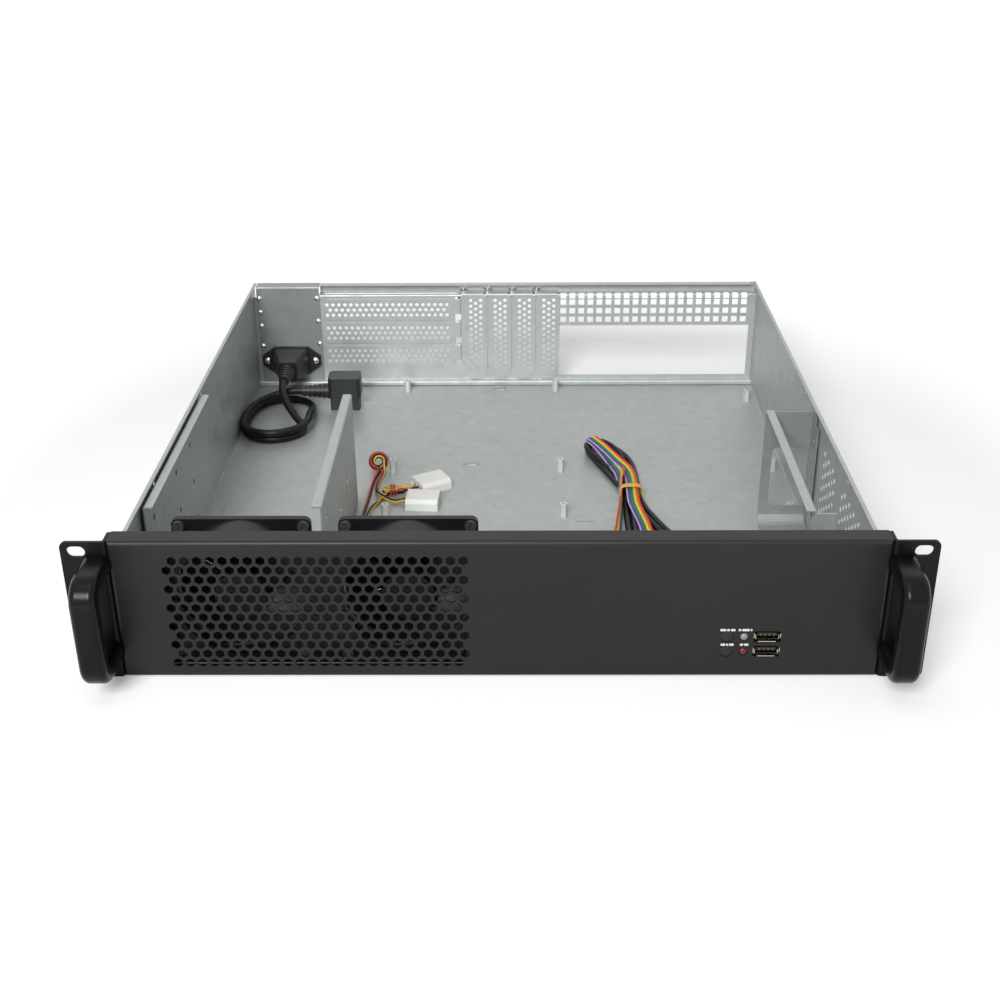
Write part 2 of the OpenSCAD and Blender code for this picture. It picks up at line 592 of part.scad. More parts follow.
// One blade: sections across it at growing radii, each a thin cambered strip turned flatter towards the tip
blade_stations = 5;
blade_points = 5;                              // points along one face of a section
blade_t = 1.3;
function blade_point(r, f, side, turn) =
    let (k = (r - hub_r) / (duct_r - hub_r), chord = 15 + 9 * k, pitch = 46 - 20 * k,
         sweep = 14 * k, u = (f - 0.5) * chord, camber = 1.8 * (1 - pow(2 * f - 1, 2)),
         t = side * blade_t / 2 * (1 - 0.6 * abs(2 * f - 1)),
         across = u * cos(pitch) - (camber + t) * sin(pitch), deep = u * sin(pitch) + (camber + t) * cos(pitch),
         a = turn + sweep + across / r * 180 / PI)
    [r * cos(a), deep, r * sin(a)];
module blade(turn) {
    m = 2 * blade_points;
    tip = blade_stations * m;
    rs = [for (i = [0:blade_stations]) hub_r - 0.7 + i * (duct_r - tip_gap - hub_r + 0.7) / blade_stations];
    polyhedron(
        points = [for (r = rs) each concat(
            [for (j = [0:blade_points - 1]) blade_point(r, j / (blade_points - 1), 1, turn)],
            [for (j = [blade_points - 1:-1:0]) blade_point(r, j / (blade_points - 1), -1, turn)])],
        faces = concat(
            [for (j = [0:blade_points - 2]) each [[j, j + 1, m - 2 - j], [j, m - 2 - j, m - 1 - j]]],
            [for (i = [0:blade_stations - 1], k = [0:m - 1])
                each [[i * m + k, (i + 1) * m + k, i * m + (k + 1) % m],
                      [i * m + (k + 1) % m, (i + 1) * m + k, (i + 1) * m + (k + 1) % m]]],
            [for (j = [0:blade_points - 2])
                each [[tip + m - 2 - j, tip + j + 1, tip + j], [tip + m - 1 - j, tip + m - 2 - j, tip + j]]]));
}
module fan_rotor(x) color(DARK) translate([x, fan_y, fan_z]) {
    // cup over the motor, with its shaft
    difference() {
        rod_y([0, 2.5, 0], hub_r, fan_depth - 6.5);
        rod_y([0, 4, 0], hub_r - 1.6, fan_depth);
    }
    rod_y([0, 3, 0], shaft_r, fan_depth - 6.5);
    for (k = [0:blades - 1]) translate([0, fan_depth / 2 - 1.6, 0]) blade(k * 360 / blades);
}
module fan_rotor_left() fan_rotor(fan_x[0]);
module fan_rotor_right() fan_rotor(fan_x[1]);

// Screws through the inner front wall into the front flange, and a second set in the rear flange
module cross_head(y, r, h) difference() {
    rod_y([0, y, 0], r, h);
    for (a = [0, 90]) translate([0, y, 0]) rotate([0, a, 0]) cube([r * 1.3, h * 0.9, 0.8], center = true);
}
module fan_screws() color(SCREW)
    for (x = fan_x, i = [-1, 1], k = [-1, 1]) translate([x + i * fan_hole, 0, fan_z + k * fan_hole]) {
        rod_y([0, wall_y - 0.5, 0], 1.9, sheet + flange_t + 3);
        cross_head(wall_y - 2, 3.3, 2);
        rod_y([0, fan_y + fan_depth - flange_t - 0.5, 0], 1.9, flange_t + 3);
        cross_head(fan_y + fan_depth - flange_t - 2, 3.3, 2);
    }

// ---- controls ----

board_y0 = wall_back + 4;                      // front face of the control board
board_t = 1.6;
board_screw_x = [button_x - 12.5, port_x + 17.5];
board_screw_z = 21.5;
switch_t = 3.5;
plunger_r = 1.7;

// Push button: cap, collar behind the panel and plunger in one moulding
module push_button(x, z, r) color(DARK) translate([x, 0, z]) {
    rod_y([0, 0.5, 0], r, 4);
    rod_y([0, 2.6, 0], r + 0.9, 1.2);
    rod_y([0, 3, 0], 2.2, board_y0 - switch_t - 4.2);
    rod_y([0, 3, 0], plunger_r, board_y0 - switch_t - 3 + 1.4);
}
module power_button() push_button(button_x, upper_z, 3.4);
module reset_button() push_button(button_x, lower_z, 3.4);

module panel_switches() color(DARK) for (z = [upper_z, lower_z])
    difference() {
        translate([button_x - 3, board_y0 - switch_t, z - 3]) cube([6, switch_t, 6]);
        rod_y([button_x, board_y0 - switch_t - 1, z], plunger_r + 0.05, 3.8);
    }

module led(z) translate([led_x, 0, z]) {
    rod_y([0, 1.4, 0], 2.5, 7);
    translate([0, 1.4, 0]) sphere(2.5, $fn = 32);
    rod_y([0, 7.4, 0], 2.9, 1);
    for (x = [-1.27, 1.27]) translate([x - 0.3, 8, -0.3]) cube([0.6, board_y0 - 8, 0.6]);
}
module power_led() color([0.80, 0.80, 0.74]) led(upper_z);
module drive_led() color([0.50, 0.06, 0.08]) led(lower_z);

port_shell = [13.4, 6];
port_len = 14;
port_y = 0.4;

// Metal shell of a port, with a flared rim
module data_port(z) color(SCREW) translate([port_x, 0, z]) {
    along_y(port_y, port_y + port_len) difference() {
        rounded_rect(port_shell.x, port_shell.y, 0.8);
        rounded_rect(port_shell.x - 0.7, port_shell.y - 0.7, 0.2);
    }
    along_y(port_y, port_y + 0.4) difference() {
        rounded_rect(port_shell.x + 1.2, port_shell.y + 0.9, 0.8);
        rounded_rect(port_shell.x - 0.7, port_shell.y - 0.7, 0.2);
    }
}
module data_port_upper() data_port(upper_z);
module data_port_lower() data_port(lower_z);
module data_port_cores() color(DARK) for (z = [upper_z, lower_z]) translate([port_x, 0, z]) {
    w = port_shell.x - 0.9;
    translate([-w / 2, port_y + 9.5, -port_shell.y / 2 + 0.45]) cube([w, board_y0 - port_y - 9.5, port_shell.y - 0.9]);
    translate([-5.6, port_y + 1, 0.2]) cube([11.2, 9, 1.8]);
}

module control_board() color([0.05, 0.22, 0.12]) difference() {
    translate([board_screw_x[0] - 3.5, board_y0, 9]) cube([board_screw_x[1] - board_screw_x[0] + 7, board_t, 25]);
    for (x = board_screw_x) rod_y([x, board_y0 - 1, board_screw_z], 1.6, 4);
}
module board_screws() color(SCREW) for (x = board_screw_x) {
    rod_y([x, wall_y - 0.8, board_screw_z], 1.5, board_y0 + board_t - wall_y + 0.9);
    difference() {
        rod_y([x, wall_back, board_screw_z], 2.8, 4);
        rod_y([x, wall_back - 1, board_screw_z], 1.5, 6);
    }
    rod_y([x, board_y0 + board_t, board_screw_z], 2.8, 2);
}

// ---- mains inlet, cord and socket ----

cord_d = 6;
relief_y = rear_y - 50;                        // free end of the inlet's strain relief

// Outline of the plug cavity: two corners cut off
module cavity_shape(w, h, c) polygon([[-w / 2, -h / 2], [w / 2, -h / 2], [w / 2, h / 2 - c], [w / 2 - c, h / 2],
    [-w / 2 + c, h / 2], [-w / 2, h / 2 - c]]);

// Strain relief along Y: a tapered sleeve between y0 (thin) and y1, with grooves
module relief_section(l, r0, r1) {
    n = 5;
    difference() {
        polygon([[0, 0], [r0, 0], [r1, l], [0, l]]);
        for (k = [0:n - 1]) let (z = l * (0.14 + 0.17 * k)) translate([r0 + (r1 - r0) * z / l - 0.9, z])
            square([3, l * 0.06]);
    }
}

module mains_inlet() color(DARK) translate([inlet_at.x, 0, inlet_at.y]) {
    difference() {
        union() {
            // flange on the plate's face
            along_y(rear_y - sheet - 3, rear_y - sheet) polygon([[-24.5, -4], [-14, -12], [14, -12], [24.5, -4],
                [24.5, 4], [14, 12], [-14, 12], [-24.5, 4]]);
            along_y(rear_y - sheet, rear_y + 8) rounded_rect(inlet_cut.x, inlet_cut.y, 2);
            // moulded body, narrower to the front
            hull() {
                along_y(rear_y - sheet - 4, rear_y - sheet - 3) rounded_rect(30, 22, 3);
                along_y(relief_y + 22, relief_y + 23) rounded_rect(17, 15, 3);
            }
            translate([0, relief_y, 0]) rotate([-90, 0, 0]) rotate_extrude($fn = 32) relief_section(23, 4.2, 7);
        }
        along_y(rear_y - 12, rear_y + 9) cavity_shape(24.2, 16.4, 4.5);
        for (s = [-1, 1]) rod_y([s * inlet_screw, rear_y - 6, 0], 1.7, 6);
        rod_y([0, relief_y - 1, 0], cord_d / 2 + 0.05, 9);
    }
    for (p = [[-7, -2], [7, -2], [0, 2]]) translate([p.x - 1, rear_y - 13, p.y - 2]) cube([2, 18, 4]);
}
module inlet_screws() color(SCREW) for (s = [-1, 1]) translate([inlet_at.x + s * inlet_screw, 0, inlet_at.y]) {
    rod_y([0, rear_y - sheet - 3, 0], 1.6, 8);
    intersection() {
        translate([0, rear_y - sheet - 3 + 1.4, 0]) sphere(3.4, $fn = 32);
        rod_y([0, rear_y - sheet - 3 - 5, 0], 4, 5);
    }
}

// Middle of the mains cord, from the inlet's strain relief: two turns on the floor and into the socket
mains_route = [[0, 0, 0], [0, -4, 0], [1.5, -17, -2.5], [6.5, -29, -8], [14.5, -39, -15], [22, -49.5, -19.2],
    [19, -61, -19.9], [8.5, -69, -19.9], [-5, -71, -19.9], [-17, -65, -19.9], [-24, -53, -19.9],
    [-25, -38, -19.9], [-25, -22, -19.9], [-21.5, -7, -19.9], [-12, 4.5, -19.9], [1.5, 9.5, -19.9],
    [14, 6, -19.9], [22.5, -5, -19], [25, -19, -17], [25.2, -34, -14], [25.4, -50, -12.9],
    [20, -63, -13.4], [8.5, -71.5, -13.6], [-5, -73.5, -13.6], [-18, -67, -13.6], [-24.5, -54, -13.6],
    [-25, -38, -13.6], [-23, -23, -13.5], [-17, -9, -13], [-7.5, -1.5, -11.5], [2, 0.5, -9.5], [8, 0.8, -8.8],
    [15, 0.8, -8.8]];
mains_start = [inlet_at.x, relief_y + 8, inlet_at.y];
mains_end = mains_start - [0, 8, 0] + mains_route[len(mains_route) - 1];
mains_points = concat([mains_start], [for (p = mains_route) mains_start - [0, 8, 0] + p], [mains_end + [8, 0, 0]]);

module mains_cord() color(DARK) tube(mains_points, cord_d / 2);

socket_end = mains_end;                        // free end of the socket's strain relief
socket_x = socket_end.x + 22;                  // left face of the socket's block
socket_size = [26, 19, 28];

// Angled mains socket standing on its contact face, with its strain relief to the left
module mains_socket() color(DARK) translate([socket_x, socket_end.y, 0]) difference() {
    union() {
        translate([socket_size.x / 2, 0, floor_z + 11]) linear_extrude(socket_size.z - 11) rounded_rect(socket_size.x, socket_size.y, 3);
        translate([socket_size.x / 2, 0, floor_z]) linear_extrude(12) cavity_shape(23.6, 15.8, 4);
        translate([-22, 0, socket_end.z]) rotate([0, 90, 0]) rotate_extrude($fn = 32) relief_section(23, 4.2, 6.6);
    }
    for (p = [[-7, -2], [7, -2], [0, 2]]) translate([socket_size.x / 2 + p.x - 1.3, p.y - 2.3, 0]) cube([2.6, 4.6, 15]);
    rod_x([-23, 0, socket_end.z], cord_d / 2 + 0.05, 9);
}

// ---- fan leads ----

lead_d = 2.4;
lead_z = floor_z + lead_d / 2 + 0.1;
plug_size = [21, 23, 8];                        // across, long and high
plug_upper = [-52.5, 242.5, 30];                // middle and turn of each plug
plug_lower = [-56.5, 214, -4];
lead_plane = fan_y + fan_depth;

left_route = [[-116, 0, 7], [-116, 2, 7], [-110.5, 5.6, lead_z], [-103, 6.2, lead_z], [-98.8, 12, lead_z],
    [-98.5, 50, lead_z], [-98.3, 100, lead_z], [-98, 150, lead_z], [-96.5, 180, lead_z], [-95.5, 205, lead_z],
    [-94, 221, lead_z], [-93.3, 228.2, 3]];
right_route = [[-84, 0, 7], [-84, 2, 7], [-91, 6, lead_z], [-94.5, 13, lead_z], [-95.2, 50, lead_z],
    [-95.2, 100, lead_z], [-95, 148, lead_z], [-93, 166, lead_z], [-89, 179, lead_z], [-85.2, 188, 3.2]];
tail_route = [[-76.8, 226.3, 4.6], [-76.6, 222.4, 4.4], [-74.2, 217.8, 4.6], [-71, 215.1, 5], [-68.15, 214.9, 5]];
coil_at = [-93, 272, 7.4];
coil_tilt = 50;
hank_at = [-78.5, 230.7];
hank_turn = 12;
hank_size = [17, 8, 6.4];

module fan_lead_left() color([0.75, 0.12, 0.10])
    tube([for (p = left_route) [p.x, lead_plane + p.y, p.z]], lead_d / 2);
module fan_lead_right() color([0.75, 0.12, 0.10])
    tube([for (p = right_route) [p.x, lead_plane + p.y, p.z]], lead_d / 2);
module lead_tail() color([0.90, 0.75, 0.10]) tube(tail_route, lead_d / 2);

// Wound-up spare length: a leaning coil, and a flat hank whose end reaches the upper plug
module lead_coil() color([0.75, 0.12, 0.10]) translate(coil_at) rotate([coil_tilt, 0, 0])
    rotate_extrude($fn = 32) translate([4.8, 0]) circle(2.6, $fn = 24);
module lead_hank() color([0.90, 0.75, 0.10]) {
    translate([hank_at.x, hank_at.y, floor_z + 0.15]) rotate(hank_turn) linear_extrude(hank_size.z)
        stadium(hank_size.x, hank_size.y);
    translate([hank_at.x, hank_at.y, floor_z + 1.6]) rotate(hank_turn) linear_extrude(4)
        polygon([[5, -3], [8.4, -2.6], [16.1, 0.6], [14.6, 3.2], [8, 3], [5, 3]]);
}

// White four-way plug: a body with two chamfered edges and four round chambers
module power_plug(at) color(NYLON) translate([at.x, at.y, floor_z + plug_size.z / 2]) rotate(at.z)
    along_x(-plug_size.y / 2, plug_size.y / 2) {
        difference() {
            polygon([[-plug_size.x / 2, -plug_size.z / 2], [plug_size.x / 2, -plug_size.z / 2],
                [plug_size.x / 2, 1.5], [plug_size.x / 2 - 2.5, plug_size.z / 2],
                [-plug_size.x / 2 + 2.5, plug_size.z / 2], [-plug_size.x / 2, 1.5]]);
            for (k = [-1.5:1.5]) translate([k * 5.08, -0.3]) circle(1.7, $fn = 24);
        }
    }
module power_plug_upper() power_plug(plug_upper);
module power_plug_lower() power_plug(plug_lower);

// ---- front cables ----

data_r = 3.2;                                   // two round cables in one sleeve
ribbon_r = 1.6;
tie_at = [90, 222];                             // middle of the hank's neck at the tie
neck = [16, 12];
neck_y = 214;                                   // free end of the neck, where the strands come out
plate_y = board_y0 + board_t + 8;               // rear faces of the board's plugs

data_feed_route = [[93.8, neck_y - 0.1, 4.6], [93.8, 210, 4.6], [99.5, 194, 4.4], [107, 177, 4.4],
    [119, 148, 4.4], [131.5, 115, 4.4], [142, 82, 4.6], [148.5, 56, 8], [151, 38, 13], [151.5, plate_y + 6, 15],
    [151.5, plate_y, 15]];
data_tail_route = [[86.5, neck_y - 0.1, 4.6], [86.5, 208, 4.6], [86.8, 190, 4.4], [87.5, 166, 4.4],
    [89, 144, 4.4], [89, 139.1, 4.4]];
ribbon_feed_route = [[91, neck_y - 0.1, 10], [91, 209, 10], [93, 194, 6.4], [95.6, 178, 3], [100.5, 157, 2.8],
    [109, 124, 2.8], [117, 90, 2.8], [124, 60, 5], [128.6, 40, 12], [129.4, plate_y + 5, 15], [129.4, plate_y, 15]];
ribbon_tail_route = [[84.6, neck_y - 0.1, 10], [84.6, 209, 10], [80.5, 194, 5.5], [78.9, 178, 2.9],
    [77.5, 156, 2.9], [76, 136, 2.9], [76, 130.1, 2.9]];

module data_cable_feed() color(DARK) tube(data_feed_route, data_r);
module data_cable_tail() color(DARK) tube(data_tail_route, data_r);
module ribbon_feed() color([0.85, 0.45, 0.15]) tube(ribbon_feed_route, ribbon_r);
module ribbon_tail() color([0.85, 0.45, 0.15]) tube(ribbon_tail_route, ribbon_r);

// Spare length folded into a loop: the outline of the loop and, through the tie, its neck
module cable_hank() color(DARK) translate([0, 0, floor_z + 0.2]) {
    linear_extrude(13) hull() {
        translate([72, 302]) circle(10, $fn = 32);
        translate([86, 290]) circle(9, $fn = 32);
        translate([91, 256]) circle(8, $fn = 32);
        translate([tie_at.x, tie_at.y + 12]) circle(neck.x / 2, $fn = 32);
    }
    translate([tie_at.x - neck.x / 2, neck_y, 0]) cube([neck.x, tie_at.y + 12 - neck_y, neck.y]);
}
module cable_tie() color([0.80, 0.62, 0.15]) translate([tie_at.x, 0, floor_z + 0.2 + neck.y / 2])
    along_y(tie_at.y - 1.5, tie_at.y + 1.5) difference() {
        rounded_rect(neck.x + 1.8, neck.y + 0.3, 0.1);
        square([neck.x, neck.y], center = true);
    }

// Small plug with a row of contact holes; its face looks along -Y
module pin_plug(at, size, n) color(DARK) translate(at) difference() {
    translate([-size.x / 2, -size.y, -size.z / 2]) cube(size);
    for (k = [0:n - 1]) translate([(k - (n - 1) / 2) * 2.54 - 0.6, -size.y - 1, -0.6]) cube([1.2, 7, 1.2]);
}
module data_plug() pin_plug([89, 138.9, floor_z + 3.2], [12.7, 18, 6], 4);
module ribbon_plug() pin_plug([76, 129.9, floor_z + 2], [11, 15, 3.8], 4);
module board_plugs() color(DARK) {
    translate([129.4 - 5, board_y0 + board_t, 12.5]) cube([10, 8, 5]);
    translate([151.5 - 6.5, board_y0 + board_t, 11.5]) cube([13, 8, 7]);
}

in_rack_frame() base_tray();
in_rack_frame() front_wall();
in_rack_frame() front_panel();
in_rack_frame() ear_left();
in_rack_frame() ear_right();
in_rack_frame() handle_left();
in_rack_frame() handle_right();
in_rack_frame() handle_screws();
in_rack_frame() rear_panel();
in_rack_frame() inlet_plate();
in_rack_frame() plate_rivets();
in_rack_frame() full_cover_1();
in_rack_frame() full_cover_2();
in_rack_frame() full_cover_3();
in_rack_frame() low_cover_1();
in_rack_frame() low_cover_2();
in_rack_frame() low_cover_3();
in_rack_frame() low_cover_4();
in_rack_frame() slot_screws();
in_rack_frame() standoffs();
in_rack_frame() drive_bracket_left();
in_rack_frame() drive_bracket_right();
in_rack_frame() side_bracket();
in_rack_frame() side_rail();
in_rack_frame() fan_frame_left();
in_rack_frame() fan_frame_right();
in_rack_frame() fan_rotor_left();
in_rack_frame() fan_rotor_right();
in_rack_frame() fan_screws();
in_rack_frame() power_button();
in_rack_frame() reset_button();
in_rack_frame() power_led();
in_rack_frame() drive_led();
in_rack_frame() data_port_upper();
in_rack_frame() data_port_lower();
in_rack_frame() data_port_cores();
in_rack_frame() control_board();
in_rack_frame() panel_switches();
in_rack_frame() board_screws();
in_rack_frame() mains_inlet();
in_rack_frame() inlet_screws();
in_rack_frame() mains_cord();
in_rack_frame() mains_socket();
in_rack_frame() fan_lead_left();
in_rack_frame() fan_lead_right();
in_rack_frame() lead_hank();
in_rack_frame() lead_coil();
in_rack_frame() lead_tail();
in_rack_frame() power_plug_upper();
in_rack_frame() power_plug_lower();
in_rack_frame() data_cable_feed();
in_rack_frame() data_cable_tail();
in_rack_frame() ribbon_feed();
in_rack_frame() ribbon_tail();
in_rack_frame() cable_hank();
in_rack_frame() cable_tie();
in_rack_frame() data_plug();
in_rack_frame() ribbon_plug();
in_rack_frame() board_plugs();
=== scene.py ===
import math

import bmesh
import bpy
from mathutils import Matrix, Vector


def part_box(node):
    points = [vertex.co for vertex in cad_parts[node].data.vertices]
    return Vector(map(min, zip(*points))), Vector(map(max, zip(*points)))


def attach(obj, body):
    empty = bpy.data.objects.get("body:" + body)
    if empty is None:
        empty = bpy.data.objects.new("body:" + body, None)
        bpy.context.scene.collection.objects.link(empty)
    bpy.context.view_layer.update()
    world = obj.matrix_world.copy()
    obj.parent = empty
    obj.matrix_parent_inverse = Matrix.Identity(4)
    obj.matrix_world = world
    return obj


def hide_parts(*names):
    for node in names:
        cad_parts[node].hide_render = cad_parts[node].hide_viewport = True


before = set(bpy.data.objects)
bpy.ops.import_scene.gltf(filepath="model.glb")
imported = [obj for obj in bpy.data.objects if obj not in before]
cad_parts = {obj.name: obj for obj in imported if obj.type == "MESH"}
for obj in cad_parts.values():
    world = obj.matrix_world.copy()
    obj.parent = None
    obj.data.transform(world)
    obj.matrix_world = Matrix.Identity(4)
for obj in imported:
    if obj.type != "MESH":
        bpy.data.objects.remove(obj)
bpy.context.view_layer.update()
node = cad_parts
scene = bpy.context.scene


# ---- Studio ----
# The open case lies on a plain white table under large soft lamps, and the camera stands a little above it,
# in front of the panel. Table and sky are white where they are seen, and dimmer in the light that they give.

# The drawing counts millimetres from the panel's face and the case's underside. The part's frame counts
# metres from the middle of the ears' four slots, on the ears' rear faces.
slots_behind_face, slots_above_base = 2.0, 44.05


def at(x, y, z):
    """A point of the drawing, in the part's frame."""
    return Vector((x, y - slots_behind_face, z - slots_above_base)) / 1000


camera_place = (0.0100, -0.6668, 0.40935)
# Turned a little to the left, tilted down and leaning a little to a side, in radians
camera_heading, camera_tilt, camera_roll = 0.0135, 0.4723, 0.0081
camera = bpy.data.objects.new("camera", bpy.data.cameras.new("camera"))
scene.collection.objects.link(camera)
camera.data.sensor_width = 36
camera.data.lens = 50.03
camera.data.clip_start = 0.01
camera.matrix_world = (
    Matrix.Translation(camera_place)
    @ Matrix.Rotation(camera_heading, 4, "Z")
    @ Matrix.Rotation(math.pi / 2 - camera_tilt, 4, "X")
    @ Matrix.Rotation(-camera_roll, 4, "Z")
)
scene.camera = camera
scene.view_settings.view_transform = "Standard"


def new_material(name):
    """A material with its node tree and its shader."""
    material = bpy.data.materials.new(name)
    material.use_nodes = True
    return material, material.node_tree, material.node_tree.nodes["Principled BSDF"]


def add(tree, kind, **values):
    """A new node, with its settings and the values of its inputs."""
    made = tree.nodes.new(kind)
    for key, value in values.items():
        if hasattr(made, key):
            setattr(made, key, value)
        else:
            made.inputs[key.replace("_", " ")].default_value = value
    return made


def link(tree, source, target):
    tree.links.new(source, target)


def seen_directly(tree):
    """1 for what is seen straight, in gloss or through glass, and 0 for what lights the case."""
    rays = add(tree, "ShaderNodeLightPath")
    seen = rays.outputs["Is Camera Ray"]
    for kind in ("Is Glossy Ray", "Is Transmission Ray"):
        either = add(tree, "ShaderNodeMath", operation="MAXIMUM")
        link(tree, seen, either.inputs[0])
        link(tree, rays.outputs[kind], either.inputs[1])
        seen = either.outputs[0]
    return seen


table_gap = 0.3    # between the table and the case's underside, in millimetres
table_corners = ((-9e3, -6e3), (9e3, -6e3), (9e3, 12e3), (-9e3, 12e3))
table_mesh = bpy.data.meshes.new("studio_table")
table_mesh.from_pydata([at(x, y, -table_gap) for x, y in table_corners], [], [(0, 1, 2, 3)])
studio_table = bpy.data.objects.new("studio_table", table_mesh)
scene.collection.objects.link(studio_table)
table_white, tree, shader = new_material("table_white")
shader.inputs["Base Color"].default_value = (0.9, 0.9, 0.9, 1)
shader.inputs["Roughness"].default_value = 0.9
shader.inputs["Specular IOR Level"].default_value = 0.0
shader.inputs["Emission Color"].default_value = (1, 1, 1, 1)
# The table's own white grows away from the case, so the case keeps its shadow
reach = add(tree, "ShaderNodeVectorMath", operation="DISTANCE")
reach.inputs[1].default_value = (0, 0.2, 0)
glow = add(tree, "ShaderNodeMapRange", From_Min=0.36, From_Max=0.8, To_Min=0.2, To_Max=0.9)
lift = add(tree, "ShaderNodeMath", operation="MULTIPLY")
link(tree, add(tree, "ShaderNodeTexCoord").outputs["Object"], reach.inputs[0])
link(tree, reach.outputs["Value"], glow.inputs["Value"])
link(tree, seen_directly(tree), lift.inputs[0])
link(tree, glow.outputs["Result"], lift.inputs[1])
link(tree, lift.outputs[0], shader.inputs["Emission Strength"])
table_mesh.materials.append(table_white)

scene.world = bpy.data.worlds.new("studio_sky")
scene.world.use_nodes = True
tree = scene.world.node_tree
sky = tree.nodes["Background"]
sky.inputs["Color"].default_value = (1, 1, 1, 1)
level = add(tree, "ShaderNodeMapRange", To_Min=0.32, To_Max=1.0)
link(tree, seen_directly(tree), level.inputs["Value"])
link(tree, level.outputs["Result"], sky.inputs["Strength"])

lamp_aim = Vector((0, 0.15, 0))
for name, place, size, power in (
    ("lamp_key", (-0.5, -1.6, 1.35), 0.9, 42),
    ("lamp_overhead", (-0.2, -0.3, 1.8), 1.2, 4),
):
    lamp = bpy.data.objects.new(name, bpy.data.lights.new(name, "AREA"))
    lamp.data.shape = "DISK"
    lamp.data.size = size
    lamp.data.energy = power
    lamp.location = place
    lamp.rotation_euler = (lamp_aim - Vector(place)).to_track_quat("-Z", "Y").to_euler()
    scene.collection.objects.link(lamp)


# ---- Mains cord ----
# Round black flex, 6 mm thick, from the inlet in the rear wall to an angled socket for the power supply. It
# leaves the inlet's strain relief, lies in two turns on the floor, one on the other, and ends in the socket.

def smooth_route(points, step):
    """Catmull-Rom spline through the points, with a point about every step."""
    points = [points[0] * 2 - points[1], *points, points[-1] * 2 - points[-2]]
    line = []
    for a, b, c, d in zip(points, points[1:], points[2:], points[3:]):
        count = max(2, round((c - b).length / step))
        square, cube = a * 2 - b * 5 + c * 4 - d, b * 3 - a - c * 3 + d
        for t in (i / count for i in range(count)):
            line.append((b * 2 + (c - a) * t + square * t**2 + cube * t**3) / 2)
    return [*line, points[-2].copy()]


def flex(name, line, diameter, material):
    """A round cord along a line of points."""
    curve = bpy.data.curves.new(name, "CURVE")
    curve.dimensions = "3D"
    curve.bevel_depth = diameter / 2
    curve.bevel_resolution = 3
    curve.use_fill_caps = True
    spline = curve.splines.new("POLY")
    spline.points.add(len(line) - 1)
    for point, place in zip(spline.points, line):
        point.co = (*place, 1)
    curve.materials.append(material)
    cord = bpy.data.objects.new(name, curve)
    scene.collection.objects.link(cord)
    return cord


def noise(tree, scale, detail, roughness=0.5):
    """Noise in the piece's own coordinates, with about scale clouds to a metre."""
    cloud = add(tree, "ShaderNodeTexNoise", Scale=scale, Detail=detail, Roughness=roughness)
    link(tree, add(tree, "ShaderNodeTexCoord").outputs["Object"], cloud.inputs["Vector"])
    return cloud.outputs["Fac"]


def between(tree, source, low, high, start=0.0, end=1.0):
    """A value that runs from low to high while its source runs from start to end."""
    ranged = add(tree, "ShaderNodeMapRange", From_Min=start, From_Max=end, To_Min=low, To_Max=high)
    link(tree, source, ranged.inputs["Value"])
    return ranged.outputs["Result"]


def shaded(tree, shader, color, factor):
    """The surface's colour, made lighter and darker by a factor."""
    shade = add(tree, "ShaderNodeVectorMath", operation="SCALE")
    shade.inputs[0].default_value = color
    link(tree, factor, shade.inputs["Scale"])
    link(tree, shade.outputs["Vector"], shader.inputs["Base Color"])


def textured(tree, shader, height, strength, distance):
    """Fine unevenness of the surface."""
    bump = add(tree, "ShaderNodeBump", Strength=strength, Distance=distance)
    link(tree, height, bump.inputs["Height"])
    link(tree, bump.outputs["Normal"], shader.inputs["Normal"])


def moulded(name, color, roughness=0.45, grain=0.0006, depth=0.12, mottle=0.08, specular=0.5):
    """Moulded or extruded plastic: faint mottling of its colour and gloss, and a fine grain on its skin."""
    material, tree, shader = new_material(name)
    cloud = noise(tree, 70.0, 4.0)
    shaded(tree, shader, color, between(tree, cloud, 1 - mottle, 1 + mottle))
    link(tree, between(tree, cloud, roughness * 0.88, roughness * 1.12), shader.inputs["Roughness"])
    textured(tree, shader, noise(tree, 1 / grain, 2.0), depth, 0.0003)
    shader.inputs["Specular IOR Level"].default_value = specular
    return material


mains_diameter, mains_step = 0.006, 0.002
relief_end = (-180.455, 390.0, 24.0)
# Places along the flex, from the strain relief's free end
mains_route = [
    (0, 8, 0), (0, 0, 0), (0, -4, 0), (1.5, -17, -2.5), (6.5, -29, -8), (14.5, -39, -15),
    (22, -49.5, -19.2), (19, -61, -19.9), (8.5, -69, -19.9), (-5, -71, -19.9), (-17, -65, -19.9),
    (-24, -53, -19.9), (-25, -38, -19.9), (-25, -22, -19.9), (-21.5, -7, -19.9), (-12, 4.5, -19.9),
    (1.5, 9.5, -19.9), (14, 6, -19.9), (22.5, -5, -19), (25, -19, -17), (25.2, -34, -14),
    (25.4, -50, -12.9), (20, -63, -13.4), (8.5, -71.5, -13.6), (-5, -73.5, -13.6), (-18, -67, -13.6),
    (-24.5, -54, -13.6), (-25, -38, -13.6), (-23, -23, -13.5), (-17, -9, -13), (-7.5, -1.5, -11.5),
    (2, 0.5, -9.5), (8, 0.8, -8.8), (15, 0.8, -8.8), (22, 0.8, -8.8),
]
mains_line = smooth_route([at(*(a + b for a, b in zip(relief_end, p))) for p in mains_route], mains_step)
black_flex = moulded("black_flex", (0.004, 0.004, 0.0045), roughness=0.38, specular=0.26)
mains_flex = flex("mains_flex", mains_line, mains_diameter, black_flex)
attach(mains_flex, "chassis")
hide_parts("mains_cord")


# ---- Fan leads ----
# Each fan has three thin insulated wires, red, black and yellow, that lie on the floor and end in a nylon
# plug. The left fan's spare length is wound into a small leaning coil. The right fan's is wound into a flat
# hank of the black and the yellow wire, with the red wire wrapped round them.

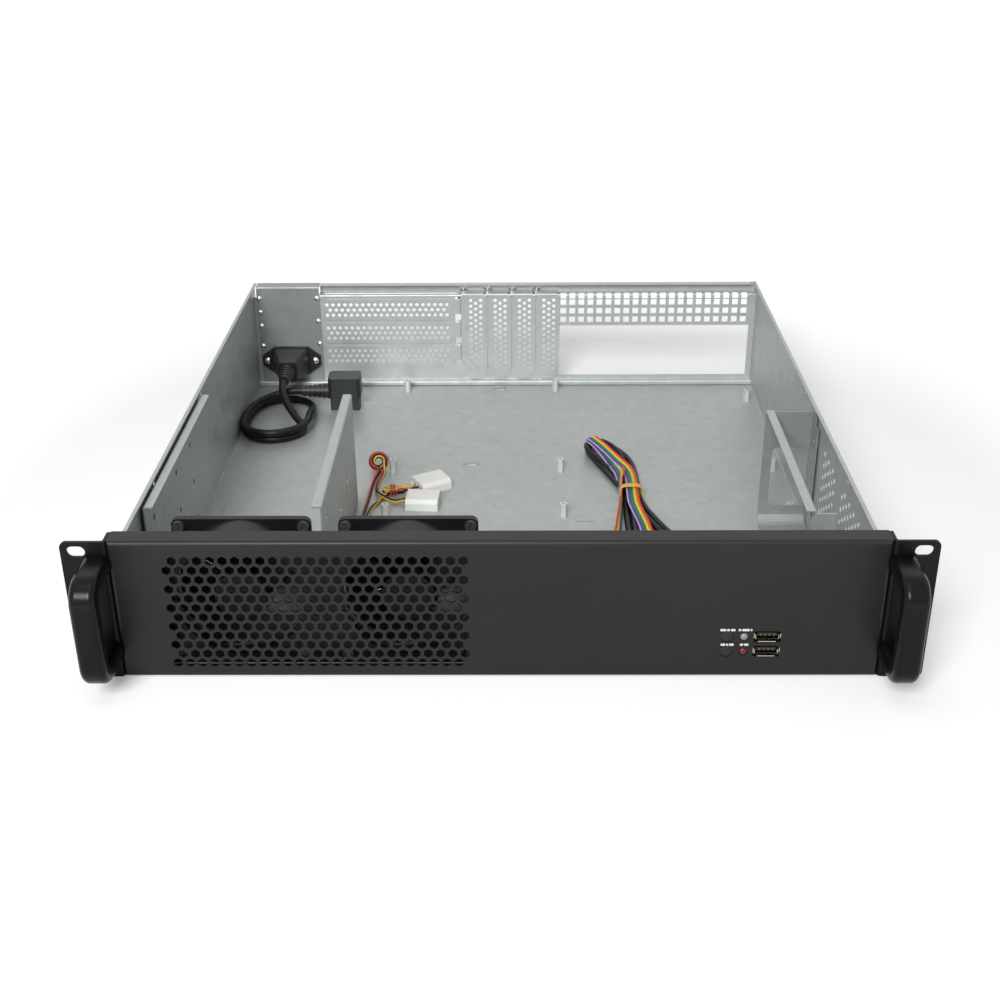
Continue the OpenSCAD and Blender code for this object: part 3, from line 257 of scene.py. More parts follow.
wire_diameter = 0.0013
run_step, wire_step = 0.002, 0.0008
wire_finish = {
    "red": moulded("wire_red", (0.52, 0.018, 0.022), roughness=0.32, grain=0.0009, depth=0.06),
    "black": moulded("wire_black", (0.004, 0.004, 0.004), roughness=0.36, grain=0.0009, depth=0.06,
                     specular=0.25),
    "yellow": moulded("wire_yellow", (0.80, 0.52, 0.02), roughness=0.34, grain=0.0009, depth=0.06),
}
chamber_height = 4.7    # middle of the plugs' chambers


def beside(line, offset):
    """The line moved to its right and up, by what offset gives at each share of the way along it."""
    out = []
    for i, p in enumerate(line):
        ahead = (line[min(i + 1, len(line) - 1)] - line[max(i - 1, 0)]).normalized()
        right = ahead.cross(Vector((0, 0, 1))).normalized()
        a, b = offset(i / (len(line) - 1))
        out.append(p + (right * a + right.cross(ahead) * b) / 1000)
    return out


def in_bundle(phase, turns=0.0, reach=0.74):
    """A wire's place in a bundle of three: a direction round the bundle's middle, in degrees."""
    return lambda share: (
        reach * math.cos(math.radians(phase + 360 * turns * share)),
        reach * math.sin(math.radians(phase + 360 * turns * share)),
    )


def fan_wire(name, line, colour):
    """One wire of a fan's lead, from the fan to its plug."""
    lead = flex(name, line, wire_diameter, wire_finish[colour])
    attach(lead, "chassis")
    return lead


# The coil leans on the floor: its middle, its lean, the radii of its turns and of the three wires' winding,
# and how far the winding twists in each turn
coil_middle = Vector((-93, 272, 7.4))
coil_lean = math.radians(50)
coil_up = Vector((0, math.cos(coil_lean), math.sin(coil_lean)))
coil_face = Vector((0, -math.sin(coil_lean), math.cos(coil_lean)))
coil_radius, winding_radius, winding_twist = 5.0, 1.95, 80
coil_steps, coil_points = 24, 65    # steps of one turn, and points in all


def on_coil(turn, phase):
    """A place on the coil, so many turns from its lowest point, in the drawing's millimetres."""
    a, b = math.radians(-90 - 360 * turn), math.radians(phase - winding_twist * turn)
    out = Vector((math.cos(a), 0, 0)) + coil_up * math.sin(a)
    out *= coil_radius + winding_radius * math.cos(b)
    return coil_middle + out + coil_face * winding_radius * math.sin(b)


left_run = [
    (-116, 38, 7), (-116, 40, 7), (-110.5, 43.6, 2.3), (-103, 44.2, 2.3), (-98.8, 50, 2.3), (-98.5, 88, 2.3),
    (-98.3, 138, 2.3), (-98, 188, 2.3), (-96.5, 218, 2.3), (-95.5, 243, 2.3), (-94, 259, 2.3),
    (-92.6, 264.5, 3),
]
left_tail = [
    (-88.6, 263, 3.2), (-89.4, 257, 2.3), (-91.2, 249, 2.3), (-91.6, 240, 2.3), (-91, 232, 2.6),
    (-90, 226.4, 4.6), (-88.2, 221.6, 5.9), (-84.6, 217.9, 5.4), (-79.5, 215.7, 3.4), (-74, 214.9, 3.0),
    (-70.6, 214.8, 4.2),
]
right_run = [
    (-84, 38, 7), (-84, 40, 7), (-91, 44, 2.3), (-94.5, 51, 2.3), (-95.2, 88, 2.3), (-95.2, 138, 2.3),
    (-95, 186, 2.3), (-93, 204, 2.3), (-89, 217, 2.3), (-86.6, 223.5, 2.6),
]
# The lower plug: where its wires go in and end, and how far across it each wire's chamber lies
lower_mouth, lower_inside = (-68.2, 214.8), (-64, 214.5)
left_entry = {"red": -7.6, "black": 2.55, "yellow": -2.5}
for colour, phase, coil_phase in (("red", 90, 90), ("black", -30, 210), ("yellow", 210, 330)):
    run = beside(smooth_route([at(*p) for p in left_run], run_step), in_bundle(phase))
    coil = [at(*on_coil(k / coil_steps, coil_phase)) for k in range(1, coil_points + 1)]
    tail = beside(smooth_route([at(*p) for p in left_tail], run_step), in_bundle(phase, 0.4))
    across = left_entry[colour]
    mouth = [at(lower_mouth[0] + 0.07 * across, lower_mouth[1] + across, chamber_height),
             at(lower_inside[0], lower_inside[1] + across, chamber_height)]
    line = smooth_route([*run[::5][:-1], run[-1], *coil, *tail[1::4], *mouth], wire_step)
    fan_wire("left_fan_wire_" + colour, line, colour)
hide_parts("fan_lead_left")
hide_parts("lead_coil")
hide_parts("lead_tail")

# The hank lies flat: u along it, v across, w up from the floor
hank_middle = Vector((-78.5, 230.7, 1.15))
hank_turn = math.radians(12)
hank_end, hank_side = 4.6, 3.3    # where its folds begin, and its two sides
strand_height = {"black": 1.75, "yellow": 4.05}    # middle of each wire's first strand
wrap_steps, wrap_pitch = 24, 2    # steps in one wrap of the red wire, and how far it moves along
right_entry = {"black": (-61.3, 234.7), "yellow": (-63.8, 239.0), "red": (-58.9, 230.3)}


def on_hank(u, v, w):
    """A place in the hank, in the part's frame."""
    c, s = math.cos(hank_turn), math.sin(hank_turn)
    return at(hank_middle.x + u * c - v * s, hank_middle.y + u * s + v * c, hank_middle.z + w)


def fold(side, w, rise):
    """Half a turn of the hank about one of its ends, rising as it goes."""
    out = []
    for a in range(-90, 91, 15):
        along, across = math.cos(math.radians(a)), math.sin(math.radians(a))
        u, v = side * (hank_end + hank_side * along), side * hank_side * across
        out.append(on_hank(u, v, w + rise * (a + 90) / 180))
    return out


def squared(x, power):
    """A sine or cosine that makes its circle squarer, the more so the lower the power."""
    return math.copysign(abs(x) ** power, x)


for colour, phase in (("black", 90), ("yellow", -30), ("red", 210)):
    run = beside(smooth_route([at(*p) for p in right_run], run_step), in_bundle(phase))
    if colour == "red":
        # Two wraps round the other wires, which move along the hank
        winding = [on_hank(-6.4, -4.9, 1.0), on_hank(-4.0, -4.95, 1.9)]
        for k in range(2 * wrap_steps + 1):
            a = math.radians(180 + 360 / wrap_steps * k)
            across, down = squared(math.cos(a), 0.95), squared(math.sin(a), 0.95)
            winding.append(on_hank(-2.4 + wrap_pitch * k / wrap_steps, 4.5 * across, 3.75 - 3.15 * down))
        winding += [on_hank(2.9, -4.75, 5.6), on_hank(5.6, -4.6, 5.7),
                    on_hank(9.2, -4.4, 4.8), on_hank(13, -4.0, 4.0)]
    else:
        # One flat turn, which rises by its own wire's thickness, and half of the next
        first = strand_height[colour]
        winding = [on_hank(-hank_end, -hank_side, first), on_hank(0, -hank_side, first), *fold(1, first, 0.5)]
        winding += [on_hank(0, hank_side, first + 0.55), *fold(-1, first + 0.6, 0.5)]
        winding.append(on_hank(0, -hank_side, first + 1.13))
        if colour == "black":
            winding += [on_hank(6, -3.1, first + 1.1), on_hank(11, -1.6, 3.0), on_hank(14.6, -0.4, 3.5)]
        else:
            winding += [on_hank(4, -2.7, first + 1.1), on_hank(9, -0.6, 4.6), on_hank(13.5, 1.4, 4.2)]
    x, y = right_entry[colour]
    mouth = [at(x, y, chamber_height), at(x + 3.5, y + 2, chamber_height)]
    line = smooth_route([*run[::5][:-1], *winding, *mouth], wire_step)
    fan_wire("right_fan_wire_" + colour, line, colour)
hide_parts("fan_lead_right")
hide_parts("lead_hank")


# ---- Data cables ----
# Two soft round black cables run side by side from the front sockets' board. Their spare length makes one
# long loop on the floor, held at its neck by the tie, and both end in one small plug for the main board.

data_diameter = 0.0044
feed_step, data_step = 0.004, 0.0015
feed_line = [
    (151.5, 26.6, 15), (151.5, 32.6, 15), (151, 40, 13), (148.5, 56, 8), (142, 82, 3.9), (131.5, 115, 3.3),
    (119, 148, 3.3), (107, 177, 3.3), (101, 194, 3.3), (97, 207, 3.4), (94.8, 216, 3.5),
]
outer_loop = [
    (97, 223, 3.5), (97.4, 234, 3.4), (97.3, 248, 3.4), (96.9, 262, 3.4), (95.4, 277, 3.4), (91.6, 290, 3.5),
    (85.6, 301, 3.6), (78.5, 307.8, 3.6), (71, 308.6, 3.6), (65.6, 304, 3.6), (64.5, 297, 3.6),
    (67, 288, 3.5), (71.3, 275, 3.4), (76.5, 261, 3.4), (81.3, 247, 3.4), (85.6, 234, 3.4), (87.6, 223, 3.5),
    (87.2, 210, 3.4), (86.8, 200, 3.3), (86.4, 180, 3.3), (86.6, 160, 3.3), (86.8, 145, 3.6),
    (86.8, 136, 4.2),
]
inner_loop = [
    (92.5, 223, 3.5), (92.9, 234, 3.4), (92.7, 248, 3.4), (92, 262, 3.6), (90.2, 276, 4.6), (87, 288, 6.3),
    (81.6, 298.4, 7.8), (74.6, 305.4, 8.1), (67.2, 304.6, 8.1), (63.4, 298, 8.1), (64.8, 289, 8.0),
    (69.4, 280, 7.0), (75, 270.6, 5.0), (80.6, 261, 3.9), (85.4, 249.5, 3.9), (87.6, 240, 5.8),
    (88.8, 231, 7.5), (89.3, 221, 7.7), (90.3, 212, 6.4), (91, 204, 4.2), (91.2, 195, 3.3), (91, 178, 3.3),
    (91, 160, 3.3), (91.3, 145, 3.6), (91.3, 136, 4.2),
]
# Each cable's place beside the pair's middle, and the solids that it stands for
for name, side, loop, solids in (
    ("data_cable_outer", 2.25, outer_loop, ["data_cable_feed", "cable_hank"]),
    ("data_cable_inner", -2.25, inner_loop, ["data_cable_tail"]),
):
    feed = beside(smooth_route([at(*p) for p in feed_line], feed_step), lambda share: (side, 0))
    line = smooth_route([*feed[:-1:3], *(at(*p) for p in loop)], data_step)
    cable = flex(name, line, data_diameter, black_flex)
    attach(cable, "chassis")
    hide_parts(*solids)


# ---- Ribbon cable ----
# Seven fine coloured wires bonded side by side, from the switches' plug to a plug for the main board. It
# lies on top of the loop of black cables, folds back at the loop's far end and turns on edge at the tie.

ribbon_width, ribbon_pitch = 0.0089, 1.27
ribbon_step, ribbon_sides = 0.0012, 8
wire_half_width, wire_half_height = 0.00066, 0.00052    # each wire is a little flat, and merges with the next
ribbon_colours = (
    ("lilac", (0.46, 0.36, 0.62)), ("violet", (0.11, 0.04, 0.20)), ("teal", (0.01, 0.13, 0.17)),
    ("green", (0.02, 0.25, 0.07)), ("yellow", (0.85, 0.68, 0.03)), ("orange", (0.72, 0.21, 0.02)),
    ("red", (0.62, 0.028, 0.016)),
)
middle_wire = 3
# Place, then the direction across the ribbon from its lilac to its red edge
ribbon_route = [
    ((129.4, 26.6, 15), (1, 0, 0)), ((129.4, 32, 15), (1, 0, 0)), ((128.8, 41, 12), (1, 0.03, 0)),
    ((124.4, 60, 5), (1, 0.2, 0)), ((117.4, 88, 1.8), (1, 0.25, 0)), ((109, 122, 1.7), (1, 0.25, 0)),
    ((102.2, 150, 1.8), (1, 0.24, 0)), ((99.6, 163, 2.6), (1, 0.2, 0)), ((97.2, 176, 5.6), (1, 0.16, 0)),
    ((94.6, 190, 6.8), (1, 0.14, 0.03)), ((92.4, 203, 8.1), (1, 0.1, 0.06)), ((92.0, 214, 9.8), (1, 0, 0.04)),
    ((92.2, 222, 10.4), (1, 0, 0)), ((92.8, 233, 9.0), (1, 0, -0.06)), ((93.0, 244, 7.4), (1, 0.05, 0)),
    ((92.4, 254, 7.0), (1, 0.15, 0)), ((89.8, 262.5, 7.6), (0.9, 0.45, 0.05)),
    ((85.2, 270, 8.8), (0.84, 0.54, 0.05)), ((80.8, 278.2, 10.2), (0.83, 0.55, 0)),
    ((75, 288.2, 12.0), (0.83, 0.55, 0)), ((69.4, 297.2, 13.2), (0.83, 0.55, 0)),
    ((67.0, 301, 13.3), (0.83, 0.55, 0)), ((66.1, 302.2, 12.2), (0.83, 0.55, 0)),
    ((67.0, 300.4, 11.2), (0.84, 0.53, 0)), ((69.8, 295, 11.0), (0.86, 0.5, 0)),
    ((74.4, 285.6, 9.8), (0.88, 0.46, 0)), ((78.7, 276.3, 7.6), (0.9, 0.4, 0)),
    ((82.0, 267.4, 6.3), (0.95, 0.3, 0.1)), ((85.1, 257, 7.0), (0.95, 0.2, 0.3)),
    ((85.6, 246.5, 8.2), (0.7, 0.12, 0.7)), ((84.8, 235, 7.6), (0.3, 0, 1)), ((84.8, 222, 6.7), (0, 0, 1)),
    ((84.5, 213, 6.7), (-0.08, 0, 1)), ((83.4, 203, 6.4), (-0.25, 0, 0.97)),
    ((81.9, 190, 5.9), (-0.35, 0, 0.94)), ((79.9, 172, 5.2), (-0.5, 0, 0.87)),
    ((77.9, 152, 3.6), (-0.9, 0, 0.45)), ((76.2, 138, 2.4), (-1, 0, 0)), ((76, 128, 3.0), (-1, 0, 0)),
]
ribbon_line = smooth_route([at(*p) for p, _ in ribbon_route], ribbon_step)
ribbon_last = len(ribbon_line) - 1
ribbon_across = []
for (p, w), (q, v) in zip(ribbon_route, ribbon_route[1:]):
    count = max(2, round((at(*q) - at(*p)).length / ribbon_step))
    for i in range(count):
        t = i / count
        t = t * t * (3 - 2 * t)
        ribbon_across.append(Vector(w).normalized().lerp(Vector(v).normalized(), t).normalized())
ribbon_across.append(Vector(ribbon_route[-1][1]).normalized())


def ribbon_frame(index):
    """Directions across and through the ribbon at one of its points, square to its own line."""
    ahead = ribbon_line[min(index + 1, ribbon_last)] - ribbon_line[max(index - 1, 0)]
    ahead.normalize()
    wide = ribbon_across[index]
    wide = (wide - ahead * wide.dot(ahead)).normalized()
    return wide, wide.cross(ahead)


def band(first, ring):
    """Faces between a ring of points and the next ring."""
    return [(first + j, first + (j + 1) % ring, first + ring + (j + 1) % ring, first + ring + j)
            for j in range(ring)]


ribbon_mesh = bpy.data.meshes.new("ribbon_cable")
points, faces, slots = [], [], []
for k in range(len(ribbon_colours)):
    base = len(points)
    for i, p in enumerate(ribbon_line):
        wide, thick = ribbon_frame(i)
        middle = p + wide * (k - middle_wire) * ribbon_pitch / 1000
        for s in range(ribbon_sides):
            a = 2 * math.pi * s / ribbon_sides
            points.append(middle + wide * math.cos(a) * wire_half_width
                          + thick * math.sin(a) * wire_half_height)
    for i in range(ribbon_last):
        faces += band(base + i * ribbon_sides, ribbon_sides)
    for start in (base, base + ribbon_last * ribbon_sides):
        faces.append(tuple(range(start, start + ribbon_sides)))
    slots += [k] * (len(faces) - len(slots))
ribbon_mesh.from_pydata(points, [], faces)
ribbon_mesh.polygons.foreach_set("material_index", slots)
ribbon_mesh.polygons.foreach_set("use_smooth", [True] * len(faces))
for colour, value in ribbon_colours:
    ribbon_mesh.materials.append(moulded("ribbon_" + colour, value, roughness=0.42, grain=0.0009, depth=0.05))
ribbon_mesh.validate()
ribbon_cable = bpy.data.objects.new("ribbon_cable", ribbon_mesh)
scene.collection.objects.link(ribbon_cable)
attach(ribbon_cable, "chassis")
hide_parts("ribbon_feed", "ribbon_tail")


# ---- Cable tie ----
# A soft mustard-coloured strap, 4.6 mm wide, drawn round the neck of the loop where its strands meet. It is
# a flat extruded band with rounded edges, wider here and narrower there, that sways a little as it goes.

tie_middle = (91.6, 221.0, 7.05)
tie_outside = (8.3, 6.0)
tie_width, tie_thickness = 4.6, 0.9
tie_fullness = 3.2    # 2 makes the strap's outline an ellipse, and more fills its corners
tie_turns, tie_section = 120, 12


def tie_outline(a, inset):
    """Point of the strap's outline at an angle: a rounded box that is fuller at its shoulders."""
    x, z = math.cos(a), math.sin(a)
    reach = (abs(x) ** tie_fullness + abs(z) ** tie_fullness) ** (-1 / tie_fullness)
    return x * reach * (tie_outside[0] - inset), z * reach * (tie_outside[1] - inset)


points, faces = [], []
for i in range(tie_turns):
    a = 2 * math.pi * i / tie_turns
    sway = 0.35 * math.sin(a + 0.6) + 0.12 * math.sin(3 * a)
    width = tie_width * (1 - 0.07 * math.cos(2 * a) + 0.03 * math.sin(5 * a))
    here, there = i * tie_section, (i + 1) % tie_turns * tie_section
    for s in range(tie_section):
        b = 2 * math.pi * s / tie_section
        across = squared(math.cos(b), 0.5) * width / 2
        deep = tie_thickness / 2 * (1 - squared(math.sin(b), 0.7))
        x, z = tie_outline(a, deep)
        points.append(at(tie_middle[0] + x, tie_middle[1] + across + sway, tie_middle[2] + z))
        after = (s + 1) % tie_section
        faces.append((here + s, there + s, there + after, here + after))


def piece(name, points, faces, material, body="chassis", smooth=True):
    """A mesh that rides on one of the case's bodies."""
    mesh = bpy.data.meshes.new(name)
    mesh.from_pydata(points, [], faces)
    mesh.polygons.foreach_set("use_smooth", [smooth] * len(mesh.polygons))
    mesh.materials.append(material)
    mesh.validate()
    made = bpy.data.objects.new(name, mesh)
    scene.collection.objects.link(made)
    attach(made, body)
    return made


mustard = moulded("mustard", (0.70, 0.44, 0.05), roughness=0.5, grain=0.0012, depth=0.25, mottle=0.16)
tie_strap = piece("tie_strap", points, faces, mustard)
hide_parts("cable_tie")


# ---- Folded steel ----
# Tray, rear wall, slot covers, drive plates, inlet plate, rail and bracket are cut and folded from steel
# sheet with a zinc coat. It shows a faint spangle and broad smudges. The rear wall and its covers are drawn
# lighter, and the inlet plate and side bracket darker. The darker zinc is painted shade for the dimmer
# surroundings that those plates reflect.

def zinc(name, tone, spangle, smudge, roughness):
    """Zinc coat: crystals with ragged edges, under broad smudges."""
    material, tree, shader = new_material(name)
    place = add(tree, "ShaderNodeTexCoord").outputs["Object"]
    stir = add(tree, "ShaderNodeTexNoise", Scale=55.0, Detail=3.0)
    warp = add(tree, "ShaderNodeVectorMath", operation="SCALE")
    warp.inputs["Scale"].default_value = 0.009
    placed = add(tree, "ShaderNodeVectorMath", operation="ADD")
    crystals = add(tree, "ShaderNodeTexVoronoi", Scale=150.0)
    crystal = add(tree, "ShaderNodeSeparateColor")
    link(tree, place, stir.inputs["Vector"])
    link(tree, stir.outputs["Color"], warp.inputs[0])
    link(tree, place, placed.inputs[0])
    link(tree, warp.outputs["Vector"], placed.inputs[1])
    link(tree, placed.outputs["Vector"], crystals.inputs["Vector"])
    link(tree, crystals.outputs["Color"], crystal.inputs["Color"])
    # Colour: each crystal is a little lighter or darker, with broad smudges over them
    both = add(tree, "ShaderNodeMath", operation="MULTIPLY")
    link(tree, between(tree, crystal.outputs["Red"], 1 - spangle, 1 + spangle), both.inputs[0])
    link(tree, between(tree, noise(tree, 9.0, 5.0, 0.6), 1 - smudge, 1 + smudge, 0.3, 0.7), both.inputs[1])
    shaded(tree, shader, tone, both.outputs["Value"])
    # Gloss: crystals differ, and the grain of the rolled sheet breaks it up
    gloss = between(tree, crystal.outputs["Green"], roughness - 0.07, roughness + 0.07)
    link(tree, gloss, shader.inputs["Roughness"])
    textured(tree, shader, noise(tree, 900.0, 2.0), 0.10, 0.0003)
    shader.inputs["Metallic"].default_value = 0.4
    return material


def finish_in(material, slot, *names):
    """Gives the carried-over nodes their finish."""
    for name in names:
        carried = node[name]
        if not carried.material_slots:
            carried.data.materials.append(material)
        for place in carried.material_slots:
            place.material = material


zinc_sheet = zinc("zinc_sheet", (0.43, 0.458, 0.445), spangle=0.035, smudge=0.025, roughness=0.46)
zinc_rear = zinc("zinc_rear", (0.52, 0.55, 0.535), spangle=0.035, smudge=0.025, roughness=0.44)
# A darker copy of the same zinc for the inlet plate and side bracket: painted shade
zinc_painted_shade = zinc("zinc_painted_shade", (0.32, 0.34, 0.33), spangle=0.035, smudge=0.025, roughness=0.46)
finish_in(zinc_sheet, "galvanised_steel", "base_tray", "drive_bracket_left", "drive_bracket_right",
          "side_rail")
finish_in(zinc_painted_shade, "galvanised_steel", "inlet_plate", "side_bracket")
finish_in(zinc_rear, "galvanised_steel", "rear_panel", "full_cover_1", "full_cover_2", "full_cover_3",
          "low_cover_1", "low_cover_2", "low_cover_3", "low_cover_4")


# ---- Screws, rivets and standoffs ----
# Small turned and pressed fixings: bright plated cross-head screws in covers, handles, inlet and control
# board, the fans' screws drawn dark as painted shade behind the vents, blind rivets in the inlet's plate,
# and nine pale hexagonal posts for the main board.

def plated(name, color, roughness):
    """Plated or bare metal with fine marks all over."""
    material, tree, shader = new_material(name)
    marks = noise(tree, 600.0, 3.0)
    shaded(tree, shader, color, between(tree, marks, 0.82, 1.08))
    link(tree, between(tree, marks, roughness * 0.7, roughness * 1.4), shader.inputs["Roughness"])
    textured(tree, shader, marks, 0.12, 0.0002)
    shader.inputs["Metallic"].default_value = 1.0
    return material


bright_plate = plated("bright_plate", (0.80, 0.79, 0.75), 0.26)
finish_in(bright_plate, "bright_screw", "handle_screws", "plate_rivets", "slot_screws", "board_screws",
          "inlet_screws")
zinc_post = zinc("zinc_post", (0.68, 0.69, 0.67), spangle=0.02, smudge=0.02, roughness=0.4)
finish_in(zinc_post, "bright_screw", "standoffs")
# The fans' screws get a dark copy of the plate: painted shade behind the panel's vents
screw_painted_shade = plated("screw_painted_shade", (0.16, 0.16, 0.155), 0.5)
finish_in(screw_painted_shade, "bright_screw", "fan_screws")


# ---- Panel and ears ----
# The front panel is a folded steel tray with twelve rows of hexagonal vent holes, between two angle-shaped
# rack ears. Panel, inner front wall and ears share a fine-textured black powder coat. The inner front wall's
# black is painted shade, so that the vents look dark, and the ears are drawn darker than the panel, also as
# painted shade.

def powder_coat(name, color, roughness, orange_peel, specular):
    """Baked coat: faint clouds in its colour and its gloss, and a fine even texture."""
    material, tree, shader = new_material(name)
    cloud = noise(tree, 14.0, 6.0, 0.6)
    shaded(tree, shader, color, between(tree, cloud, 0.88, 1.12, 0.3, 0.7))
    gloss = between(tree, cloud, roughness - 0.05, roughness + 0.05, 0.3, 0.7)
    link(tree, gloss, shader.inputs["Roughness"])
    textured(tree, shader, noise(tree, 1400.0, 3.0), orange_peel, 0.0003)
    shader.inputs["Specular IOR Level"].default_value = specular
    return material


panel_black = powder_coat("panel_black", (0.011, 0.011, 0.0115), 0.40, 0.16, specular=0.28)
# The inner front wall gets the panel's black as painted shade, so that the vent holes look dark
finish_in(panel_black, "black_paint", "front_panel", "front_wall")
# The ears: the panel's coat drawn darker, as painted shade
ear_painted_shade = powder_coat("ear_painted_shade", (0.004, 0.004, 0.0045), 0.36, 0.10, specular=0.16)
finish_in(ear_painted_shade, "black_paint", "ear_left", "ear_right")

# White printed marks above the controls: plain dashes, one row over each button and lamp
mark_rows = [
    (128.8, 31.2, (3.4, 1.5, 2.7)), (138.7, 31.2, (1.5, 4.3, 1.0)),
    (129.0, 21.45, (2.6, 1.2, 2.6)), (138.6, 21.45, (1.9, 2.5)),
]
mark_height, mark_gap, mark_corner = 1.5, 0.5, 0.4
mark_front, mark_back = -0.03, 0.01
points, faces = [], []
for x, z, dashes in mark_rows:
    x -= (sum(dashes) + mark_gap * (len(dashes) - 1)) / 2
    for dash in dashes:
        left, right = x + mark_corner, x + dash - mark_corner
        low, high = z - mark_height / 2 + mark_corner, z + mark_height / 2 - mark_corner
        ring = []
        for cx, cz, turn in ((right, high, 0), (left, high, 90), (left, low, 180), (right, low, 270)):
            for a in (0, 30, 60, 90):
                angle = math.radians(turn + a)
                ring.append((cx + mark_corner * math.cos(angle), cz + mark_corner * math.sin(angle)))
        first, n = len(points), len(ring)
        points += [at(px, y, pz) for y in (mark_front, mark_back) for px, pz in ring]
        faces.append(tuple(range(first, first + n)))
        faces += [(first + k, first + n + k, first + n + (k + 1) % n, first + (k + 1) % n) for k in range(n)]
        x += dash + mark_gap
print_white = moulded("print_white", (0.62, 0.64, 0.65), roughness=0.5, grain=0.0004, depth=0.2, mottle=0.14)
piece("panel_marks", points, faces, print_white, smooth=False)


# ---- Handles ----
# Each handle is one bar of die-cast alloy with a rounded oblong section, bent to a D and fixed by two
# screws from behind its ear. The black enamel is smooth and a little glossier than the panel's.

handle_enamel = powder_coat("handle_enamel", (0.003, 0.003, 0.0035), 0.24, 0.05, specular=0.17)
finish_in(handle_enamel, "black_handle", "handle_left", "handle_right")


# ---- Fans ----
# Two 80 mm fans, each a glass-filled nylon frame with a round duct, a rotor of seven twisted blades on a
# cup, and steel screws in its flanges. The moulded plastic is satin, with a fine grain.

fan_frame_plastic = moulded("fan_frame_plastic", (0.007, 0.007, 0.0075), roughness=0.42, grain=0.0005,
                            depth=0.2, specular=0.28)
rotor_plastic = moulded("rotor_plastic", (0.005, 0.005, 0.0055), roughness=0.4, grain=0.0007, depth=0.12,
                        specular=0.25)
finish_in(fan_frame_plastic, "fan_plastic", "fan_frame_left", "fan_frame_right")

fan_blades, hub_radius, blade_tip = 7, 16.0, 36.9
blade_stations, blade_points, blade_thickness = 10, 9, 1.3
blade_root = 0.7    # how far a blade reaches into the cup
# Chord and pitch at the hub, in millimetres and degrees, and how much they change by the tip
hub_chord, chord_gain, hub_pitch, pitch_loss = 25, 22, 33, 16
blade_camber, blade_sweep, blade_depth = 1.8, 14, 10.9


def blade_point(r, share, side, turn):
    """A point of a blade, as radius, angle and depth: wide cambered sections, flatter towards the tip."""
    k = (r - hub_radius) / (blade_tip - hub_radius)
    u, pitch = (share - 0.5) * (hub_chord + chord_gain * k), math.radians(hub_pitch - pitch_loss * k)
    bulge = blade_camber * (1 - (2 * share - 1) ** 2)
    bulge += side * blade_thickness / 2 * (1 - 0.7 * abs(2 * share - 1) ** 2)
    across = u * math.cos(pitch) - bulge * math.sin(pitch)
    depth = blade_depth + u * math.sin(pitch) + bulge * math.cos(pitch)
    return r, math.radians(turn + blade_sweep * k) + across / r, depth


def tidy_normals(made):
    """Faces turned outwards, with edges over 35 degrees kept sharp."""
    shell = bmesh.new()
    shell.from_mesh(made.data)
    bmesh.ops.recalc_face_normals(shell, faces=shell.faces)
    for edge in shell.edges:
        edge.smooth = len(edge.link_faces) == 2 and edge.calc_face_angle(0) < math.radians(35)
    shell.to_mesh(made.data)
    shell.free()


# Cup over the motor, open at the back, with its shaft: radius and depth of each edge
cup_front, cup_sides = 2.5, 48
cup_section = [
    (0.01, cup_front), (13.6, cup_front), (15.2, 2.9), (16, 4.1), (16, 18.5), (14.4, 18.5), (14.4, 4),
    (1.5, 4), (1.5, 21.5), (0.01, 21.5),
]
for side in ("left", "right"):
    low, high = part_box("fan_rotor_" + side)
    middle = Vector(((low[0] + high[0]) / 2, low[1] - cup_front / 1000, (low[2] + high[2]) / 2))
    polar, faces = [], []
    shares = [j / (blade_points - 1) for j in range(blade_points)]
    for k in range(fan_blades):
        first, ring, turn = len(polar), 2 * blade_points, k * 360 / fan_blades
        for i in range(blade_stations + 1):
            r = hub_radius - blade_root + i * (blade_tip - hub_radius + blade_root) / blade_stations
            polar += [blade_point(r, share, 1, turn) for share in shares]
            polar += [blade_point(r, 1 - share, -1, turn) for share in shares]
        for i in range(blade_stations):
            faces += band(first + i * ring, ring)
        for a in (first, first + blade_stations * ring):
            faces += [(a + j, a + j + 1, a + ring - 2 - j, a + ring - 1 - j) for j in range(blade_points - 1)]
    first = len(polar)
    for r, depth in cup_section:
        polar += [(r, 2 * math.pi * j / cup_sides, depth) for j in range(cup_sides)]
    for i in range(len(cup_section) - 1):
        faces += band(first + i * cup_sides, cup_sides)
    places = [middle + Vector((r * math.cos(a), depth, r * math.sin(a))) / 1000 for r, a, depth in polar]
    rotor = piece("rotor_" + side, places, faces, rotor_plastic, body=side + "_fan_rotor")
    tidy_normals(rotor)
    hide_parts("fan_rotor_" + side)


# ---- Controls ----
# Two black push buttons, a clear and a red lamp and two data sockets show through the panel's holes. They
# stand on a small green circuit board that two screws hold behind the panel.

control_plastic = moulded("control_plastic", (0.004, 0.004, 0.0045), roughness=0.28, grain=0.0005, depth=0.15)
finish_in(control_plastic, "black_plastic", "power_button", "reset_button", "panel_switches",
          "data_port_cores", "board_plugs")
socket_shell = plated("socket_shell", (0.80, 0.77, 0.68), 0.2)
socket_x, socket_heights = 151.4, {"upper": 26.6, "lower": 16.9}
socket_half, socket_high, sheet_metal = 6.7, 3.0, 0.35
shell_front, shell_back, lip_half = 2.4, 14.4, 5.3
contact_places, contact_half = (-3.75, -1.25, 1.25, 3.75), 0.5


def lens(name, color, clarity):
    """Polished clear plastic, a little cloudy."""
    material, tree, shader = new_material(name)
    cloud = noise(tree, 500.0, 2.0)
    shaded(tree, shader, color, between(tree, cloud, 0.85, 1.1))
    link(tree, between(tree, cloud, 0.05, 0.16), shader.inputs["Roughness"])
    shader.inputs["Transmission Weight"].default_value = clarity
    shader.inputs["IOR"].default_value = 1.5
    return material


finish_in(lens("clear_lamp", (0.36, 0.35, 0.30), 0.35), "clear_lens", "power_led")
finish_in(lens("red_lamp", (0.17, 0.010, 0.016), 0.3), "red_lens", "drive_led")

